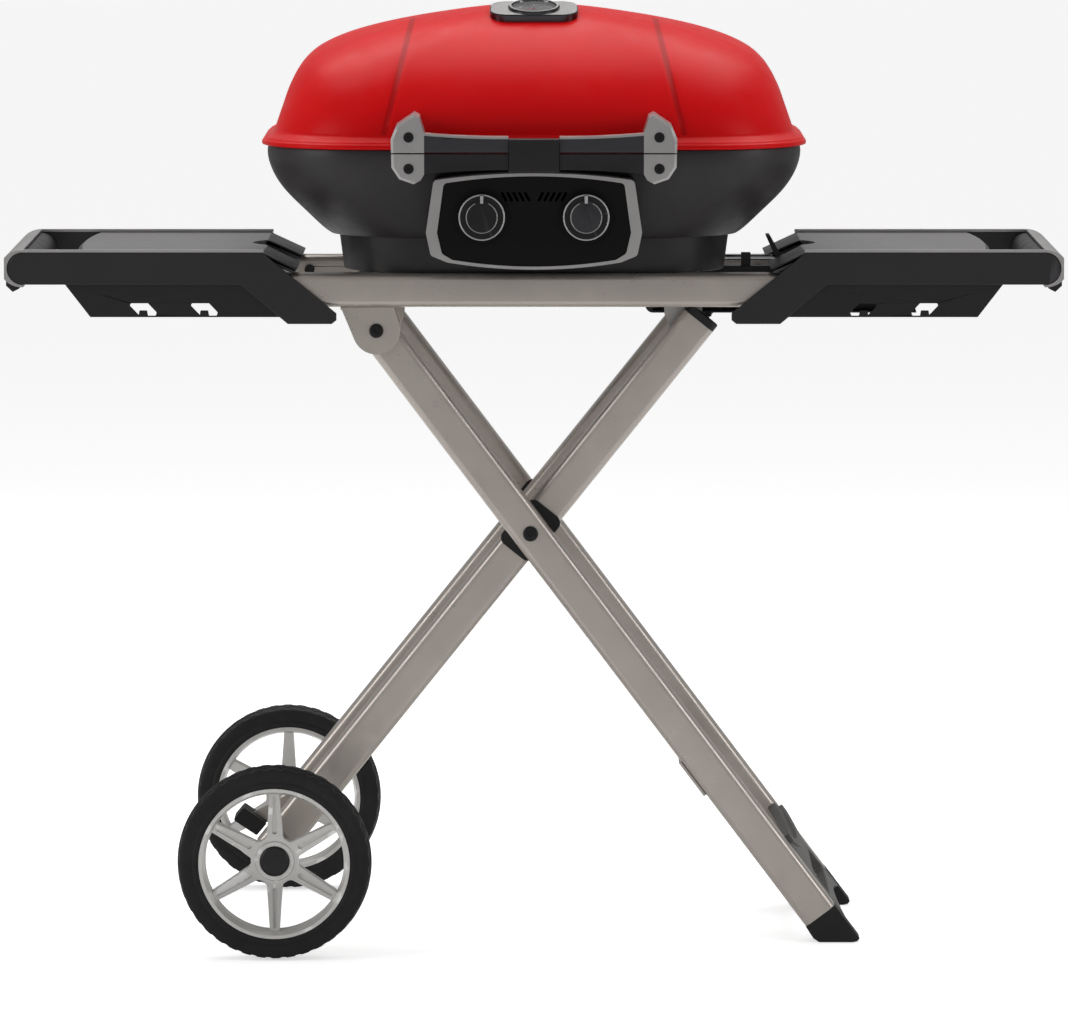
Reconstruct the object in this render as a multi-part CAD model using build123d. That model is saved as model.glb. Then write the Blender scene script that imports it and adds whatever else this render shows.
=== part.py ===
"""Portable two-burner gas grill on a folding scissor cart with wheels and two side shelves.

Millimetres. +X is the user's right, +Y points away from the user, +Z is up.
The origin is on the ground, half way along the cart and half way between its rails.
"""
from build123d import *
from math import atan2, cos, sin, tan
import os

# ---------------------------------------------------------------- driving sizes
SHELF_TIP_X = 559.0        # outer end of each side shelf
WHEEL_R = 101.5            # 8 inch wheels
WHEEL_FACE_Y = 256.0       # outer face of each tyre
TYRE_WIDTH = 40.0

RAIL_TOP = 710.0
RAIL_SIZE = 35.0
RAIL_Y = 132.0             # centre of each rail
RAIL_HALF_LENGTH = 325.0
TUBE_WALL = 2.0

LEG_WIDTH = 38.0           # across the leg, seen from the front
LEG_DEPTH = 32.0           # along Y
OUTER_LEG_Y = 124.0
INNER_LEG_Y = 88.0
PIVOT_Z = 650.0            # height of the leg pivot and of the slide pin
PIVOT_X = -165.5           # leg pivot
CROSS_X = -3.7             # where the legs cross
CROSS_Z = 435.2
AXLE_X = -271.0
AXLE_R = 6.0
PIN_R = 4.0
RUNNING_GAP = 0.05         # radial clearance of every turning fit
SLIDER_GAP = 0.5

SPLIT_Z = 842.5            # where the lid meets the firebox
LID_GAP = 0.8
SHELL = 3.0                # wall of lid and firebox
HINGE_Y = 214.0
HINGE_Z = 856.0
HINGE_X = 150.0

KNOB_X = 54.0
KNOB_Z = 776.5
KNOB_R = 24.5
PANEL_FRONT_Y = -238.5
HANDLE_FRONT_Y = -254.0
HANDLE_BACK_Y = -234.0
HANDLE_END_X = 113.5

SHELF_SIDE_Y = 152.0       # inner face of a shelf side
SHELF_SIDE_T = 4.0
SHELF_TOP_Z = 733.3
NOSE_R = 17.0
NOSE_X = 535.0
NOSE_Z = SHELF_TOP_Z - NOSE_R

# ---------------------------------------------------------------- worked out
SLIDE_PIN_X = 2 * CROSS_X - PIVOT_X
AXLE_Z = WHEEL_R
OUTER_ANGLE = atan2(PIVOT_Z - CROSS_Z, CROSS_X - PIVOT_X)
INNER_ANGLE = atan2(CROSS_Z - AXLE_Z, CROSS_X - AXLE_X)
RAIL_BOTTOM = RAIL_TOP - RAIL_SIZE


# ---------------------------------------------------------------- helpers
def box(x0, x1, y0, y1, z0, z1):
    """A block between two corners."""
    size = (x1 - x0, y1 - y0, z1 - z0)
    middle = ((x0 + x1) / 2, (y0 + y1) / 2, (z0 + z1) / 2)
    return Pos(*middle) * Box(*size)


def rod_y(x, z, radius, y0, y1):
    """A round bar along Y."""
    return Pos(x, (y0 + y1) / 2, z) * Rot(90, 0, 0) * Cylinder(radius, abs(y1 - y0))


def rod_x(y, z, radius, x0, x1):
    """A round bar along X."""
    return Pos((x0 + x1) / 2, y, z) * Rot(0, 90, 0) * Cylinder(radius, abs(x1 - x0))


def rod_z(x, y, radius, z0, z1):
    """A round bar along Z."""
    return Pos(x, y, (z0 + z1) / 2) * Cylinder(radius, abs(z1 - z0))


def front_plane(y):
    """A plane that faces the user: its x is X, its y is Z, and it grows towards the user."""
    return Plane(origin=(0, y, 0), x_dir=(1, 0, 0), z_dir=(0, -1, 0))


def slab(face, y0, y1):
    """A flat outline drawn in X and Z, made solid between two Y values."""
    return extrude(front_plane(max(y0, y1)) * face, amount=abs(y1 - y0))


def outline(*points, radius=0.0):
    """A closed outline in X and Z, with every corner rounded alike."""
    face = make_face(Polyline(*points, close=True))
    if radius:
        face = fillet(face.vertices(), radius)
    return face


def both_sides(part):
    """A part and its mirror image behind the cart's middle plane."""
    return [part, mirror(part, about=Plane.XZ)]


def left_and_right(part):
    """A part and its mirror image on the other end of the cart."""
    return [part, mirror(part, about=Plane.YZ)]


def on_leg(angle, along, across=0.0, start=(CROSS_X, CROSS_Z), sense=1):
    """X and Z of a point on a leg's line: along it from the crossing, and across it upwards."""
    direction = (cos(angle), sense * sin(angle))
    normal = (-direction[1], direction[0])
    return (start[0] + along * direction[0] + across * normal[0],
            start[1] + along * direction[1] + across * normal[1])


def square_tube(start, end, y, width=LEG_WIDTH, depth=LEG_DEPTH, corner=7.0, wall=TUBE_WALL):
    """A hollow tube with rounded corners between two points given in X and Z."""
    run = Vector(end[0] - start[0], 0, end[1] - start[1])
    plane = Plane(origin=(start[0], y, start[1]), x_dir=(0, 1, 0), z_dir=run)
    section = RectangleRounded(depth, width, corner)
    section -= RectangleRounded(depth - 2 * wall, width - 2 * wall, corner - wall)
    return extrude(plane * section, amount=run.length)


def export_node(name, *solids):
    """Write one node's solids to its STEP file."""
    flat = []
    for item in solids:
        if isinstance(item, list):
            flat.extend(item)
        else:
            flat.append(item)
    loose = [solid for item in flat for solid in item.solids()]
    shape = loose[0] if len(loose) == 1 else Compound(children=loose)
    shape.label = name
    export_step(shape, f"parts/{name}.step")


# ---------------------------------------------------------------- rails and brackets
def rail(side):
    """One of the two long rails that carry the grill and the shelves."""
    middle = RAIL_TOP - RAIL_SIZE / 2
    tube = square_tube((-RAIL_HALF_LENGTH, middle), (RAIL_HALF_LENGTH, middle),
                       side * RAIL_Y, RAIL_SIZE, RAIL_SIZE)
    inner_face = RAIL_Y - RAIL_SIZE / 2
    for x in SHELF_SCREW_X:
        tube -= rod_y(x, RAIL_SCREW_Z, SCREW_R, side * (inner_face - 1), side * (inner_face + 5))
    return tube


SHELF_SCREW_X = (-243.0, 243.0)
RAIL_SCREW_Z = 695.0
SCREW_R = 3.0
SCREW_HEAD_R = 5.4
CROSSMEMBER_XS = (-180.0, 135.0, 300.0)
CROSSMEMBER_SIZE = 20.0
CROSSMEMBER_Z = 690.0


def rail_crossmembers():
    """Three square tubes that tie the rails together."""
    inner_face = RAIL_Y - RAIL_SIZE / 2
    section = RectangleRounded(CROSSMEMBER_SIZE, CROSSMEMBER_SIZE, 4)
    section -= RectangleRounded(CROSSMEMBER_SIZE - 4, CROSSMEMBER_SIZE - 4, 2)
    return [slab(Pos(x, CROSSMEMBER_Z) * section, -inner_face, inner_face) for x in CROSSMEMBER_XS]


BRACKET_R = 25.0
BRACKET_T = 3.0
BRACKET_OUTER_Y = 141.0
BRACKET_INNER_Y = 104.9
BRACKET_INNER_T = 2.5


def leg_bracket():
    """A clevis under a rail: two plates and a web around the top of an outer leg."""
    plate_edges = Pos(PIVOT_X, PIVOT_Z) * Circle(BRACKET_R).edge()
    top_edge = Line((-203, RAIL_BOTTOM), (-147, RAIL_BOTTOM))
    face = make_face(make_hull([plate_edges, top_edge]))
    face -= Pos(PIVOT_X, PIVOT_Z) * Circle(PIN_R + RUNNING_GAP)
    outer = slab(face, -BRACKET_OUTER_Y - BRACKET_T, -BRACKET_OUTER_Y)
    inner = slab(face, -BRACKET_INNER_Y - BRACKET_INNER_T, -BRACKET_INNER_Y)
    web = box(-203, -147, -BRACKET_OUTER_Y - BRACKET_T, -BRACKET_INNER_Y, RAIL_BOTTOM - 3, RAIL_BOTTOM)
    return outer + inner + web


def flanged_pin(x, z, head_y, head_r, head_t, end_y, shank_r=PIN_R):
    """A pin along Y: a domed head on the outside and a plain shank towards the middle."""
    head = rod_y(x, z, head_r, head_y - head_t, head_y)
    head = fillet(head.edges().filter_by(GeomType.CIRCLE).sort_by(Axis.Y)[0], head_t * 0.45)
    hexagon = extrude(RegularPolygon(head_r * 0.4, 6), 1.6, both=True)
    socket = Pos(x, head_y - head_t, z) * Rot(90, 0, 0) * hexagon
    return head - socket + rod_y(x, z, shank_r, head_y, end_y)


def leg_pivot_pin():
    """The bolt an outer leg turns on."""
    return flanged_pin(PIVOT_X, PIVOT_Z, -BRACKET_OUTER_Y - BRACKET_T, 7.5, 4.0, -BRACKET_INNER_Y)


TRACK_X = (118.0, 405.0)
TRACK_Y = (50.0, 66.0)     # web side and open side, measured from the cart's middle
TRACK_Z = (662.7, 676.5)
TRACK_WALL = 2.3


def slide_track():
    """A C-channel open to the outside, hung from two crossmembers, that guides a slide carriage."""
    x0, x1 = TRACK_X
    y_web, y_open = TRACK_Y
    z0, z1 = TRACK_Z
    track = box(x0, x1, -y_open, -y_web, z0, z1)
    track = fillet(track.edges().filter_by(Axis.Y).group_by(Axis.X)[0].sort_by(Axis.Z)[0], 8)
    track -= box(x0 + 8, x1 + 1, -y_open - 1, -y_web - TRACK_WALL, z0 + TRACK_WALL, z1 - TRACK_WALL)
    for x in CROSSMEMBER_XS[1:]:
        track += box(x - 9, x + 9, -y_open, -y_web, z1 - 0.5, CROSSMEMBER_Z - CROSSMEMBER_SIZE / 2)
    return track + box(181, 188, -y_open, -y_web, z0 - 4, z0 + 0.5)


# ---------------------------------------------------------------- scissor legs
BUSH_R = 8.0
FOOT_CUT = 510.0           # from the crossing to the end of an outer leg's tube
INNER_TOP_CUT = 284.0      # from the crossing to the top end of an inner leg's tube
AXLE_DISTANCE = ((CROSS_X - AXLE_X) ** 2 + (CROSS_Z - AXLE_Z) ** 2) ** 0.5
PIVOT_DISTANCE = ((CROSS_X - PIVOT_X) ** 2 + (CROSS_Z - PIVOT_Z) ** 2) ** 0.5


def bushed(leg, x, z, y, radius=PIN_R + RUNNING_GAP, blind=0.0):
    """Add a welded bush across a leg's tube, with a bore for a pin; a blind bore stops short outside."""
    half = LEG_DEPTH / 2
    leg += rod_y(x, z, BUSH_R, y - half, y + half)
    return leg - rod_y(x, z, radius, y - half - 1 + blind, y + half + 1)


def outer_leg():
    """A leg that runs from the leg pivot down to a foot; its top end is round about the pivot."""
    y = -OUTER_LEG_Y
    top = on_leg(OUTER_ANGLE, -PIVOT_DISTANCE, sense=-1)
    leg = square_tube(top, on_leg(OUTER_ANGLE, FOOT_CUT, sense=-1), y)
    leg += rod_y(PIVOT_X, PIVOT_Z, LEG_WIDTH / 2, y - LEG_DEPTH / 2, y + LEG_DEPTH / 2)
    for x, z in ((PIVOT_X, PIVOT_Z), (CROSS_X, CROSS_Z)):
        leg = bushed(leg, x, z, y)
    return leg


def inner_leg():
    """A leg that runs from the slide pin down to the wheel axle."""
    y = -INNER_LEG_Y
    bottom = on_leg(INNER_ANGLE, -AXLE_DISTANCE - 14)
    leg = square_tube(bottom, on_leg(INNER_ANGLE, INNER_TOP_CUT), y)
    leg = bushed(leg, SLIDE_PIN_X, PIVOT_Z, y, blind=5)
    leg = bushed(leg, CROSS_X, CROSS_Z, y)
    return bushed(leg, AXLE_X, AXLE_Z, y, AXLE_R)


def inner_leg_cap():
    """The black plug in the top end of an inner leg."""
    near = on_leg(INNER_ANGLE, INNER_TOP_CUT)
    far = on_leg(INNER_ANGLE, INNER_TOP_CUT + 8)
    inside = on_leg(INNER_ANGLE, INNER_TOP_CUT - 6)
    solid = square_tube(near, far, -INNER_LEG_Y, LEG_WIDTH, LEG_DEPTH, 7, 6.9)
    solid += square_tube(inside, far, -INNER_LEG_Y, LEG_WIDTH - 4.6, LEG_DEPTH - 4.6, 5.2, 4)
    return solid


def foot_cap():
    """The black wedge that closes an outer leg and stands on the ground."""
    half = LEG_WIDTH / 2
    upper = on_leg(OUTER_ANGLE, FOOT_CUT, half, sense=-1)
    lower = on_leg(OUTER_ANGLE, FOOT_CUT, -half, sense=-1)
    toe_x = upper[0] + (upper[1] - 4) / tan(OUTER_ANGLE)
    profile = Polyline(lower, upper, (toe_x, 4), (toe_x - 2.5, 1), (toe_x - 7, 0), (lower[0] + 14, 0),
                       (lower[0] + 8, 4), close=True)
    wedge = slab(make_face(profile), -OUTER_LEG_Y - LEG_DEPTH / 2, -OUTER_LEG_Y + LEG_DEPTH / 2)
    plug = square_tube(on_leg(OUTER_ANGLE, FOOT_CUT - 16, sense=-1),
                       on_leg(OUTER_ANGLE, FOOT_CUT + 1, sense=-1),
                       -OUTER_LEG_Y, LEG_WIDTH - 4.6, LEG_DEPTH - 4.6, 5.2, 4)
    return wedge + plug


STRAP_T = 3.0
STRAP_START = 290.0        # from the crossing
STRAP_LENGTH = 44.0


def outer_crossbar():
    """A flat strap under the two outer legs that ties them together."""
    start = on_leg(OUTER_ANGLE, STRAP_START, -LEG_WIDTH / 2 - STRAP_T / 2, sense=-1)
    run = (cos(OUTER_ANGLE), 0, -sin(OUTER_ANGLE))
    plane = Plane(origin=(start[0], 0, start[1]), x_dir=(0, 1, 0), z_dir=run)
    return extrude(plane * Rectangle(2 * OUTER_LEG_Y + LEG_DEPTH - 8, STRAP_T), amount=STRAP_LENGTH)


FLOOR_DISTANCE = CROSS_Z / sin(OUTER_ANGLE)
HANDLE_LIFT = 9.0          # underside of the pull handle above the legs' centre line
HANDLE_T = 10.0


def transport_handle():
    """The moulded pull handle between the outer legs, just above the feet."""
    origin = on_leg(OUTER_ANGLE, FLOOR_DISTANCE, HANDLE_LIFT, sense=-1)
    up = (sin(OUTER_ANGLE), 0, cos(OUTER_ANGLE))
    plane = Plane(origin=(origin[0], 0, origin[1]), x_dir=(0, 1, 0), z_dir=up)
    half = OUTER_LEG_Y - LEG_DEPTH / 2
    sides = [Line((-half, 12), (-half, 128)), Line((half, 128), (half, 12))]
    ends = [ThreePointArc((-half, 128), (0, 107), (half, 128)),
            ThreePointArc((half, 12), (0, 26), (-half, 12))]
    plate = extrude(plane * make_face(sides + ends), amount=HANDLE_T)
    grip_hole = outline((-96, 40), (-84, 68), (84, 68), (96, 40), radius=8)
    plate -= extrude(plane * grip_hole, amount=3 * HANDLE_T, both=True)
    rib_face = make_face([ThreePointArc((-half, 122), (0, 100), (half, 122)),
                          Line((half, 122), (half, 112)),
                          ThreePointArc((half, 112), (0, 90), (-half, 112)),
                          Line((-half, 112), (-half, 122))])
    return plate + extrude(plane * rib_face, amount=HANDLE_T + 5)


def crossing_bolt():
    """The bolt that an outer and an inner leg turn on where they cross."""
    return flanged_pin(CROSS_X, CROSS_Z, -OUTER_LEG_Y - LEG_DEPTH / 2, 8.0, 4.0,
                       -INNER_LEG_Y + LEG_DEPTH / 2 + 1)


PAD_T = 3.2


def crossing_pad():
    """The plastic rubbing pad between an outer and an inner leg."""
    gap_start = -INNER_LEG_Y - LEG_DEPTH / 2
    plane = Plane(origin=(CROSS_X, gap_start, CROSS_Z), x_dir=(cos(INNER_ANGLE), 0, sin(INNER_ANGLE)),
                  z_dir=(0, -1, 0))
    face = RectangleRounded(58, LEG_WIDTH + 5, 9) - Circle(PIN_R + 0.5)
    return extrude(plane * face, amount=PAD_T)


INNER_BAR_ABOVE_AXLE = 50.0
BUMPER_Y = (-40.0, 0.0)
ARM_Y = (-21.5, -18.5)


def bumper_arm(y0, y1):
    """The flat arm from the inner crossbar to the bumper."""
    return slab(outline((-246, 150), (-238, 131), (-300, 105), (-308, 118)), y0, y1)


def inner_crossbar():
    """The tube between the inner legs near the wheels, with an arm for the bumper."""
    x, z = on_leg(INNER_ANGLE, -AXLE_DISTANCE + INNER_BAR_ABOVE_AXLE)
    inside = INNER_LEG_Y - LEG_DEPTH / 2
    tube = rod_y(x, z, 11, -inside, inside)
    return tube + bumper_arm(*ARM_Y) - rod_y(x, z, 9, -inside, inside)


def leg_bumper():
    """The rubber block on the end of the crossbar's arm."""
    block = slab(outline((-322, 116), (-311, 129), (-286, 112), (-297, 99), radius=2), *BUMPER_Y)
    return block - bumper_arm(ARM_Y[0] - 0.05, ARM_Y[1] + 0.05)


AXLE_SPACER_R = 10.0
AXLE_END_Y = 232.0


def wheel_axle():
    """The axle rod and the two spacers that hold the wheels away from the legs."""
    rod = rod_y(AXLE_X, AXLE_Z, AXLE_R, -AXLE_END_Y, AXLE_END_Y)
    spacer = rod_y(AXLE_X, AXLE_Z, AXLE_SPACER_R, -214.5, -INNER_LEG_Y - LEG_DEPTH / 2)
    spacer -= rod_y(AXLE_X, AXLE_Z, AXLE_R, -220, -90)
    return [rod] + both_sides(spacer)


# ---------------------------------------------------------------- slide carriage
CARRIAGE_PLATE_Y = (67.0, 70.5)
SHOE_HALF = 20.0


def slide_carriage():
    """The plate beside an inner leg's top end, with the shoe that runs in a slide track."""
    y_in, y_out = CARRIAGE_PLATE_Y
    z0 = TRACK_Z[0] + TRACK_WALL + SLIDER_GAP
    z1 = TRACK_Z[1] - TRACK_WALL - SLIDER_GAP
    shoe = box(SLIDE_PIN_X - SHOE_HALF, SLIDE_PIN_X + SHOE_HALF, -y_in - 0.5,
               -TRACK_Y[0] - TRACK_WALL - SLIDER_GAP, z0, z1)
    face = outline((138, 674), (178, 674), (178, 662), (168, 638), (148, 638), (138, 662), radius=3)
    plate = slab(face, -y_out, -y_in)
    return shoe + plate - rod_y(SLIDE_PIN_X, PIVOT_Z, PIN_R, -y_out - 1, -y_in + 1)


def slide_pin():
    """The pin fixed in a slide carriage that turns in a blind bush in the inner leg."""
    head = rod_y(SLIDE_PIN_X, PIVOT_Z, 7, -CARRIAGE_PLATE_Y[0], -CARRIAGE_PLATE_Y[0] + 3.5)
    return head + rod_y(SLIDE_PIN_X, PIVOT_Z, PIN_R, -99.5, -CARRIAGE_PLATE_Y[0] + 1)


# ---------------------------------------------------------------- wheels
SPOKES = 6
RIM_R = 79.0
HUB_R = 21.0
HUB_DISC_R = 25.0
HUB_FACE_Y = 234.0
CAP_R = 15.5
GROOVE_DEPTH = 2.4


def turned(*profile_points):
    """A ring turned about Y from points given as radius and Y."""
    face = make_face(Polyline(*profile_points, close=True))
    return revolve(face, axis=Axis.Y)


def tyre():
    """A solid rubber tyre with a slightly crowned tread."""
    y1 = WHEEL_FACE_Y
    y0 = y1 - TYRE_WIDTH
    ring = turned((RIM_R, y0 + 2), (RIM_R + 3, y0), (WHEEL_R - 5, y0), (WHEEL_R - 2, y0 + 2),
                  (WHEEL_R - 0.8, y0 + 9), (WHEEL_R, (y0 + y1) / 2), (WHEEL_R - 0.8, y1 - 9),
                  (WHEEL_R - 2, y1 - 2), (WHEEL_R - 5, y1), (RIM_R + 3, y1), (RIM_R, y1 - 2))
    return Pos(AXLE_X, 0, AXLE_Z) * ring


def around_hub(part):
    """A part turned to the place of every spoke."""
    return [Rot(0, index * 360 / SPOKES, 0) * part for index in range(SPOKES)]


def spoke_star():
    """The six tapered spokes and the disc they grow from, with soft inner corners, all as one flat plate."""
    upright = make_face(Polyline((-9, 15), (-5, RIM_R - 6), (5, RIM_R - 6), (9, 15), close=True))
    star = rod_y(0, 0, HUB_DISC_R, HUB_FACE_Y + 10, HUB_FACE_Y - 13)
    for arm in around_hub(slab(upright, HUB_FACE_Y + 10, HUB_FACE_Y - 13)):
        star += arm
    inner = [edge for edge in star.edges().filter_by(Axis.Y)
             if Vector(edge.center().X, 0, edge.center().Z).length < HUB_DISC_R + 4]
    return fillet(inner, 6)


def spoke_groove():
    """The tapered groove down the face of the upright spoke, round at the hub's end."""
    groove = make_face(Polyline((-2.6, 31), (-1.2, RIM_R - 10), (1.2, RIM_R - 10), (2.6, 31), close=True))
    return groove + Pos(0, 31) * Circle(2.6)


def rim():
    """The silver wheel centre: barrel, six grooved spokes and a bored hub with a ring round its cap."""
    y_in = WHEEL_FACE_Y - TYRE_WIDTH + 1
    y_face = HUB_FACE_Y
    bore_r = AXLE_R + RUNNING_GAP
    wheel = turned((RIM_R, y_in), (RIM_R, WHEEL_FACE_Y - 1), (RIM_R - 3.5, WHEEL_FACE_Y - 1),
                   (RIM_R - 6.5, WHEEL_FACE_Y - 10), (RIM_R - 6.5, y_in + 6), (RIM_R - 4, y_in))
    wheel += spoke_star()
    dish = turned((0, y_face), (24, y_face), (74, y_face + 10), (70, y_face + 12), (0, y_face + 12))
    wheel -= dish
    groove = slab(spoke_groove(), y_face + 12, y_face - 8) & Pos(0, -GROOVE_DEPTH, 0) * dish
    for cut in around_hub(groove):
        wheel -= cut
    wheel += turned((bore_r, 215), (HUB_R - 2, 215), (HUB_R, y_face - 2), (HUB_R, y_face),
                    (HUB_R - 1, y_face + 1.6), (CAP_R + 0.6, y_face + 1.6), (CAP_R + 0.6, y_face),
                    (bore_r, y_face))
    wheel -= rod_y(0, 0, bore_r, 200, 260)
    return Pos(AXLE_X, 0, AXLE_Z) * wheel


def hub_cap():
    """The black domed cap over the end of the axle."""
    cap = turned((0, HUB_FACE_Y), (CAP_R, HUB_FACE_Y), (CAP_R, HUB_FACE_Y + 2.5),
                 (CAP_R - 2, HUB_FACE_Y + 4.2), (0, HUB_FACE_Y + 4.8))
    return Pos(AXLE_X, 0, AXLE_Z) * cap


# ---------------------------------------------------------------- side shelves (right one, mirrored for left)
def shelf_side_face():
    """The outline of a shelf's side: a long beam with a round nose and a leg down over the rail."""
    top = SHELF_TOP_Z
    bottom = top - 2 * NOSE_R
    body = outline((285, top), (207, 669), (207, 662), (212, 658), (258, 658), (307, bottom),
                   (NOSE_X, bottom), (NOSE_X, top))
    return body + Pos(NOSE_X, NOSE_Z) * Circle(NOSE_R)


TRAY_END_R = 1200.0
NOTCH_X = 255.0            # the shelf's inner end is notched to clear the release grip
NOTCH_R = 45.0


def shelf_frame():
    """One shelf's moulding: two sides, the hand bar at the end, the deck and its feet on the rails."""
    side = slab(shelf_side_face(), -SHELF_SIDE_Y - SHELF_SIDE_T, -SHELF_SIDE_Y)
    side = fillet(side.edges().group_by(Axis.Y)[0], 0.8)
    frame = side + mirror(side, about=Plane.XZ)
    frame += rod_y(NOSE_X, NOSE_Z, NOSE_R - 1.0, -SHELF_SIDE_Y, SHELF_SIDE_Y)
    deck_under = SHELF_TOP_Z - 7
    deck = slab(outline((290, deck_under), (484, deck_under), (484, SHELF_TOP_Z - 4), (288, SHELF_TOP_Z - 4),
                        (250, 713), (252, 711)), -SHELF_SIDE_Y, SHELF_SIDE_Y)
    deck &= rod_z(484 - TRAY_END_R, 0, TRAY_END_R, 650, 760)
    deck -= rod_z(NOTCH_X, 0, NOTCH_R, 650, 760)
    frame += deck
    for side_sign in (-1, 1):
        y = side_sign * RAIL_Y
        frame += box(292, 320, y - 14, y + 14, RAIL_TOP, deck_under + 1)
    return frame


def shelf_tray():
    """The metallic top plate of one shelf, with a bulging outer end and a round notch at the inner end."""
    plate = box(287, 500, -SHELF_SIDE_Y + 0.3, SHELF_SIDE_Y - 0.3, SHELF_TOP_Z - 4, SHELF_TOP_Z - 0.6)
    plate &= rod_z(480 - TRAY_END_R, 0, TRAY_END_R, 700, 760)
    slope = slab(outline((287.5, SHELF_TOP_Z - 0.6), (250, 714.5), (248, 715.6), (285, SHELF_TOP_Z - 0.6)),
                 -SHELF_SIDE_Y + 0.3, SHELF_SIDE_Y - 0.3)
    return plate + slope - rod_z(NOTCH_X, 0, NOTCH_R, 700, 760)


def shelf_trim():
    """The silver strip along both sides' top edges and around the nose of one shelf."""
    strip = outline((283, SHELF_TOP_Z), (283.5, SHELF_TOP_Z + 2.7),
                    (NOSE_X, SHELF_TOP_Z + 2.7), (NOSE_X, SHELF_TOP_Z))
    strips = slab(strip, -SHELF_SIDE_Y - SHELF_SIDE_T - 1, -SHELF_SIDE_Y + 1)
    shell = Pos(NOSE_X, NOSE_Z) * (Ellipse(SHELF_TIP_X - NOSE_X, NOSE_R + 2.7) - Circle(NOSE_R + 0.15))
    shell -= Pos(NOSE_X - 40, NOSE_Z) * Rectangle(80, 80)
    width = SHELF_SIDE_Y + SHELF_SIDE_T + 1
    wrap = slab(shell, -width, width)
    plan_r = 3000
    wrap &= rod_z(SHELF_TIP_X - plan_r, 0, plan_r, 680, 750)
    return strips + mirror(strips, about=Plane.XZ) + wrap


HOOK_T = 2.0
HOOK_Y = SHELF_SIDE_Y - HOOK_T


def hook_plate():
    """A steel side plate under the shelf with two hooks for tools cut in it."""
    face = outline((492, 700), (465, 665), (262, 665), (262, 700))
    for x in (345.5, 409.5):
        window = outline((x + 13, 679.5), (x - 5, 679.5), (x - 14, 670),
                         (x - 13, 666.5), (x + 4, 666.5), (x + 14, 677), radius=1.2)
        tongue = outline((x - 5, 666), (x + 5, 666), (x + 4, 672), (x - 4, 672))
        face -= window
        face += tongue
    return slab(face, -HOOK_Y - HOOK_T, -HOOK_Y)


def tool_rack():
    """A notched bar under the nose of one shelf for hanging tools."""
    face = outline((554, 704), (554, 697), (547, 690.5), (540, 694), (543, 697))
    face -= Pos(NOSE_X, NOSE_Z) * Ellipse(SHELF_TIP_X - NOSE_X + 0.1, NOSE_R + 2.8)
    bar = slab(face, -140, 140)
    for index in range(-3, 4):
        y = index * 40
        bar -= box(549, 556, y - 6, y + 6, 688, 706)
    return bar


# ---------------------------------------------------------------- firebox and lid
def head_section(z, half_x, front_y, back_y, corner):
    """One level of the firebox or lid: a rounded rectangle at a height."""
    depth = back_y - front_y
    radius = min(corner, depth * 0.44, half_x * 0.84)
    return Plane.XY.offset(z) * Pos(0, (front_y + back_y) / 2) * RectangleRounded(2 * half_x, depth, radius)


def head_loft(levels, grow=0.0, ruled=False):
    """A solid through a list of levels (height, half width, front, back, corner)."""
    sections = []
    for z, half_x, front_y, back_y, corner in levels:
        sections.append(head_section(z, half_x + grow, front_y - grow, back_y + grow, corner + grow))
    return loft(Sketch() + sections, ruled=ruled)


FIREBOX_LEVELS = (
    (748.0, 214.5, -141.5, 141.5, 84),
    (760.0, 229.0, -153.0, 153.0, 90),
    (781.0, 250.0, -171.0, 171.0, 98),
    (802.0, 268.0, -186.5, 186.5, 104),
    (818.0, 276.5, -194.5, 194.5, 106),
    (830.0, 280.0, -198.0, 198.0, 108),
    (SPLIT_Z, 280.0, -198.0, 198.0, 108),
)
LID_BASE_Z = 857.0
LID_RISE = 131.0           # crest above the lid's base
LID_CREST_Y = 12.0
LID_FRONT = (204.0, 1.75)  # reach from the crest and roundness
LID_BACK = (180.0, 2.1)
LID_HALF_WIDTHS = (
    (857.0, 274.0),
    (870.0, 269.5),
    (882.0, 265.5),
    (895.0, 261.0),
    (908.0, 256.0),
    (918.0, 251.0),
    (927.0, 244.5),
    (936.0, 235.5),
    (944.0, 224.0),
    (951.0, 210.0),
    (957.5, 193.0),
    (963.0, 174.0),
    (968.5, 151.0),
    (973.5, 125.0),
    (978.0, 98.0),
    (982.0, 69.5),
    (985.0, 44.0),
    (986.5, 28.0),
)


def lid_reach(z, reach, power):
    """How far the lid reaches from its crest at a height, along a superellipse."""
    height = (z - LID_BASE_Z) / LID_RISE
    return reach * (1 - height ** power) ** (1 / power)


def lid_levels():
    """The lid's levels, from its half widths and its front and back curves."""
    levels = []
    for z, half_x in LID_HALF_WIDTHS:
        front = LID_CREST_Y - lid_reach(z, *LID_FRONT)
        back = LID_CREST_Y + lid_reach(z, *LID_BACK)
        levels.append((z, half_x, front, back, 112.0))
    return tuple(levels)


LID_LEVELS = lid_levels()
LEDGE_Z = 816.0
PIPE_X = 95.0
PIPE_EXIT_X = 135.0
PIPE_Z = 741.0
PIPE_R = 5.0
BURNER_R = 9.0


def firebox():
    """The cast bowl: a 3 mm shell with a ledge for the grids, burner holes and a drain."""
    bowl = head_loft(FIREBOX_LEVELS)
    inner = [(SPLIT_Z + 2,) + FIREBOX_LEVELS[-1][1:]]
    hollow = head_loft(FIREBOX_LEVELS[:-1] + tuple(inner), grow=-SHELL)
    hollow -= box(-300, 300, -300, 300, 700, FIREBOX_LEVELS[0][0] + SHELL)
    bowl -= hollow
    ledge = extrude(head_section(LEDGE_Z - 4, 272, -190, 190, 103), amount=4)
    ledge -= extrude(head_section(LEDGE_Z - 5, 259, -177, 177, 92), amount=6)
    bowl += ledge
    for x in (-KNOB_X, KNOB_X):
        bowl -= rod_y(x, KNOB_Z, BURNER_R + 1, -210, -140)
    return bowl - rod_z(0, 0, 20, 740, 760)


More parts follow.
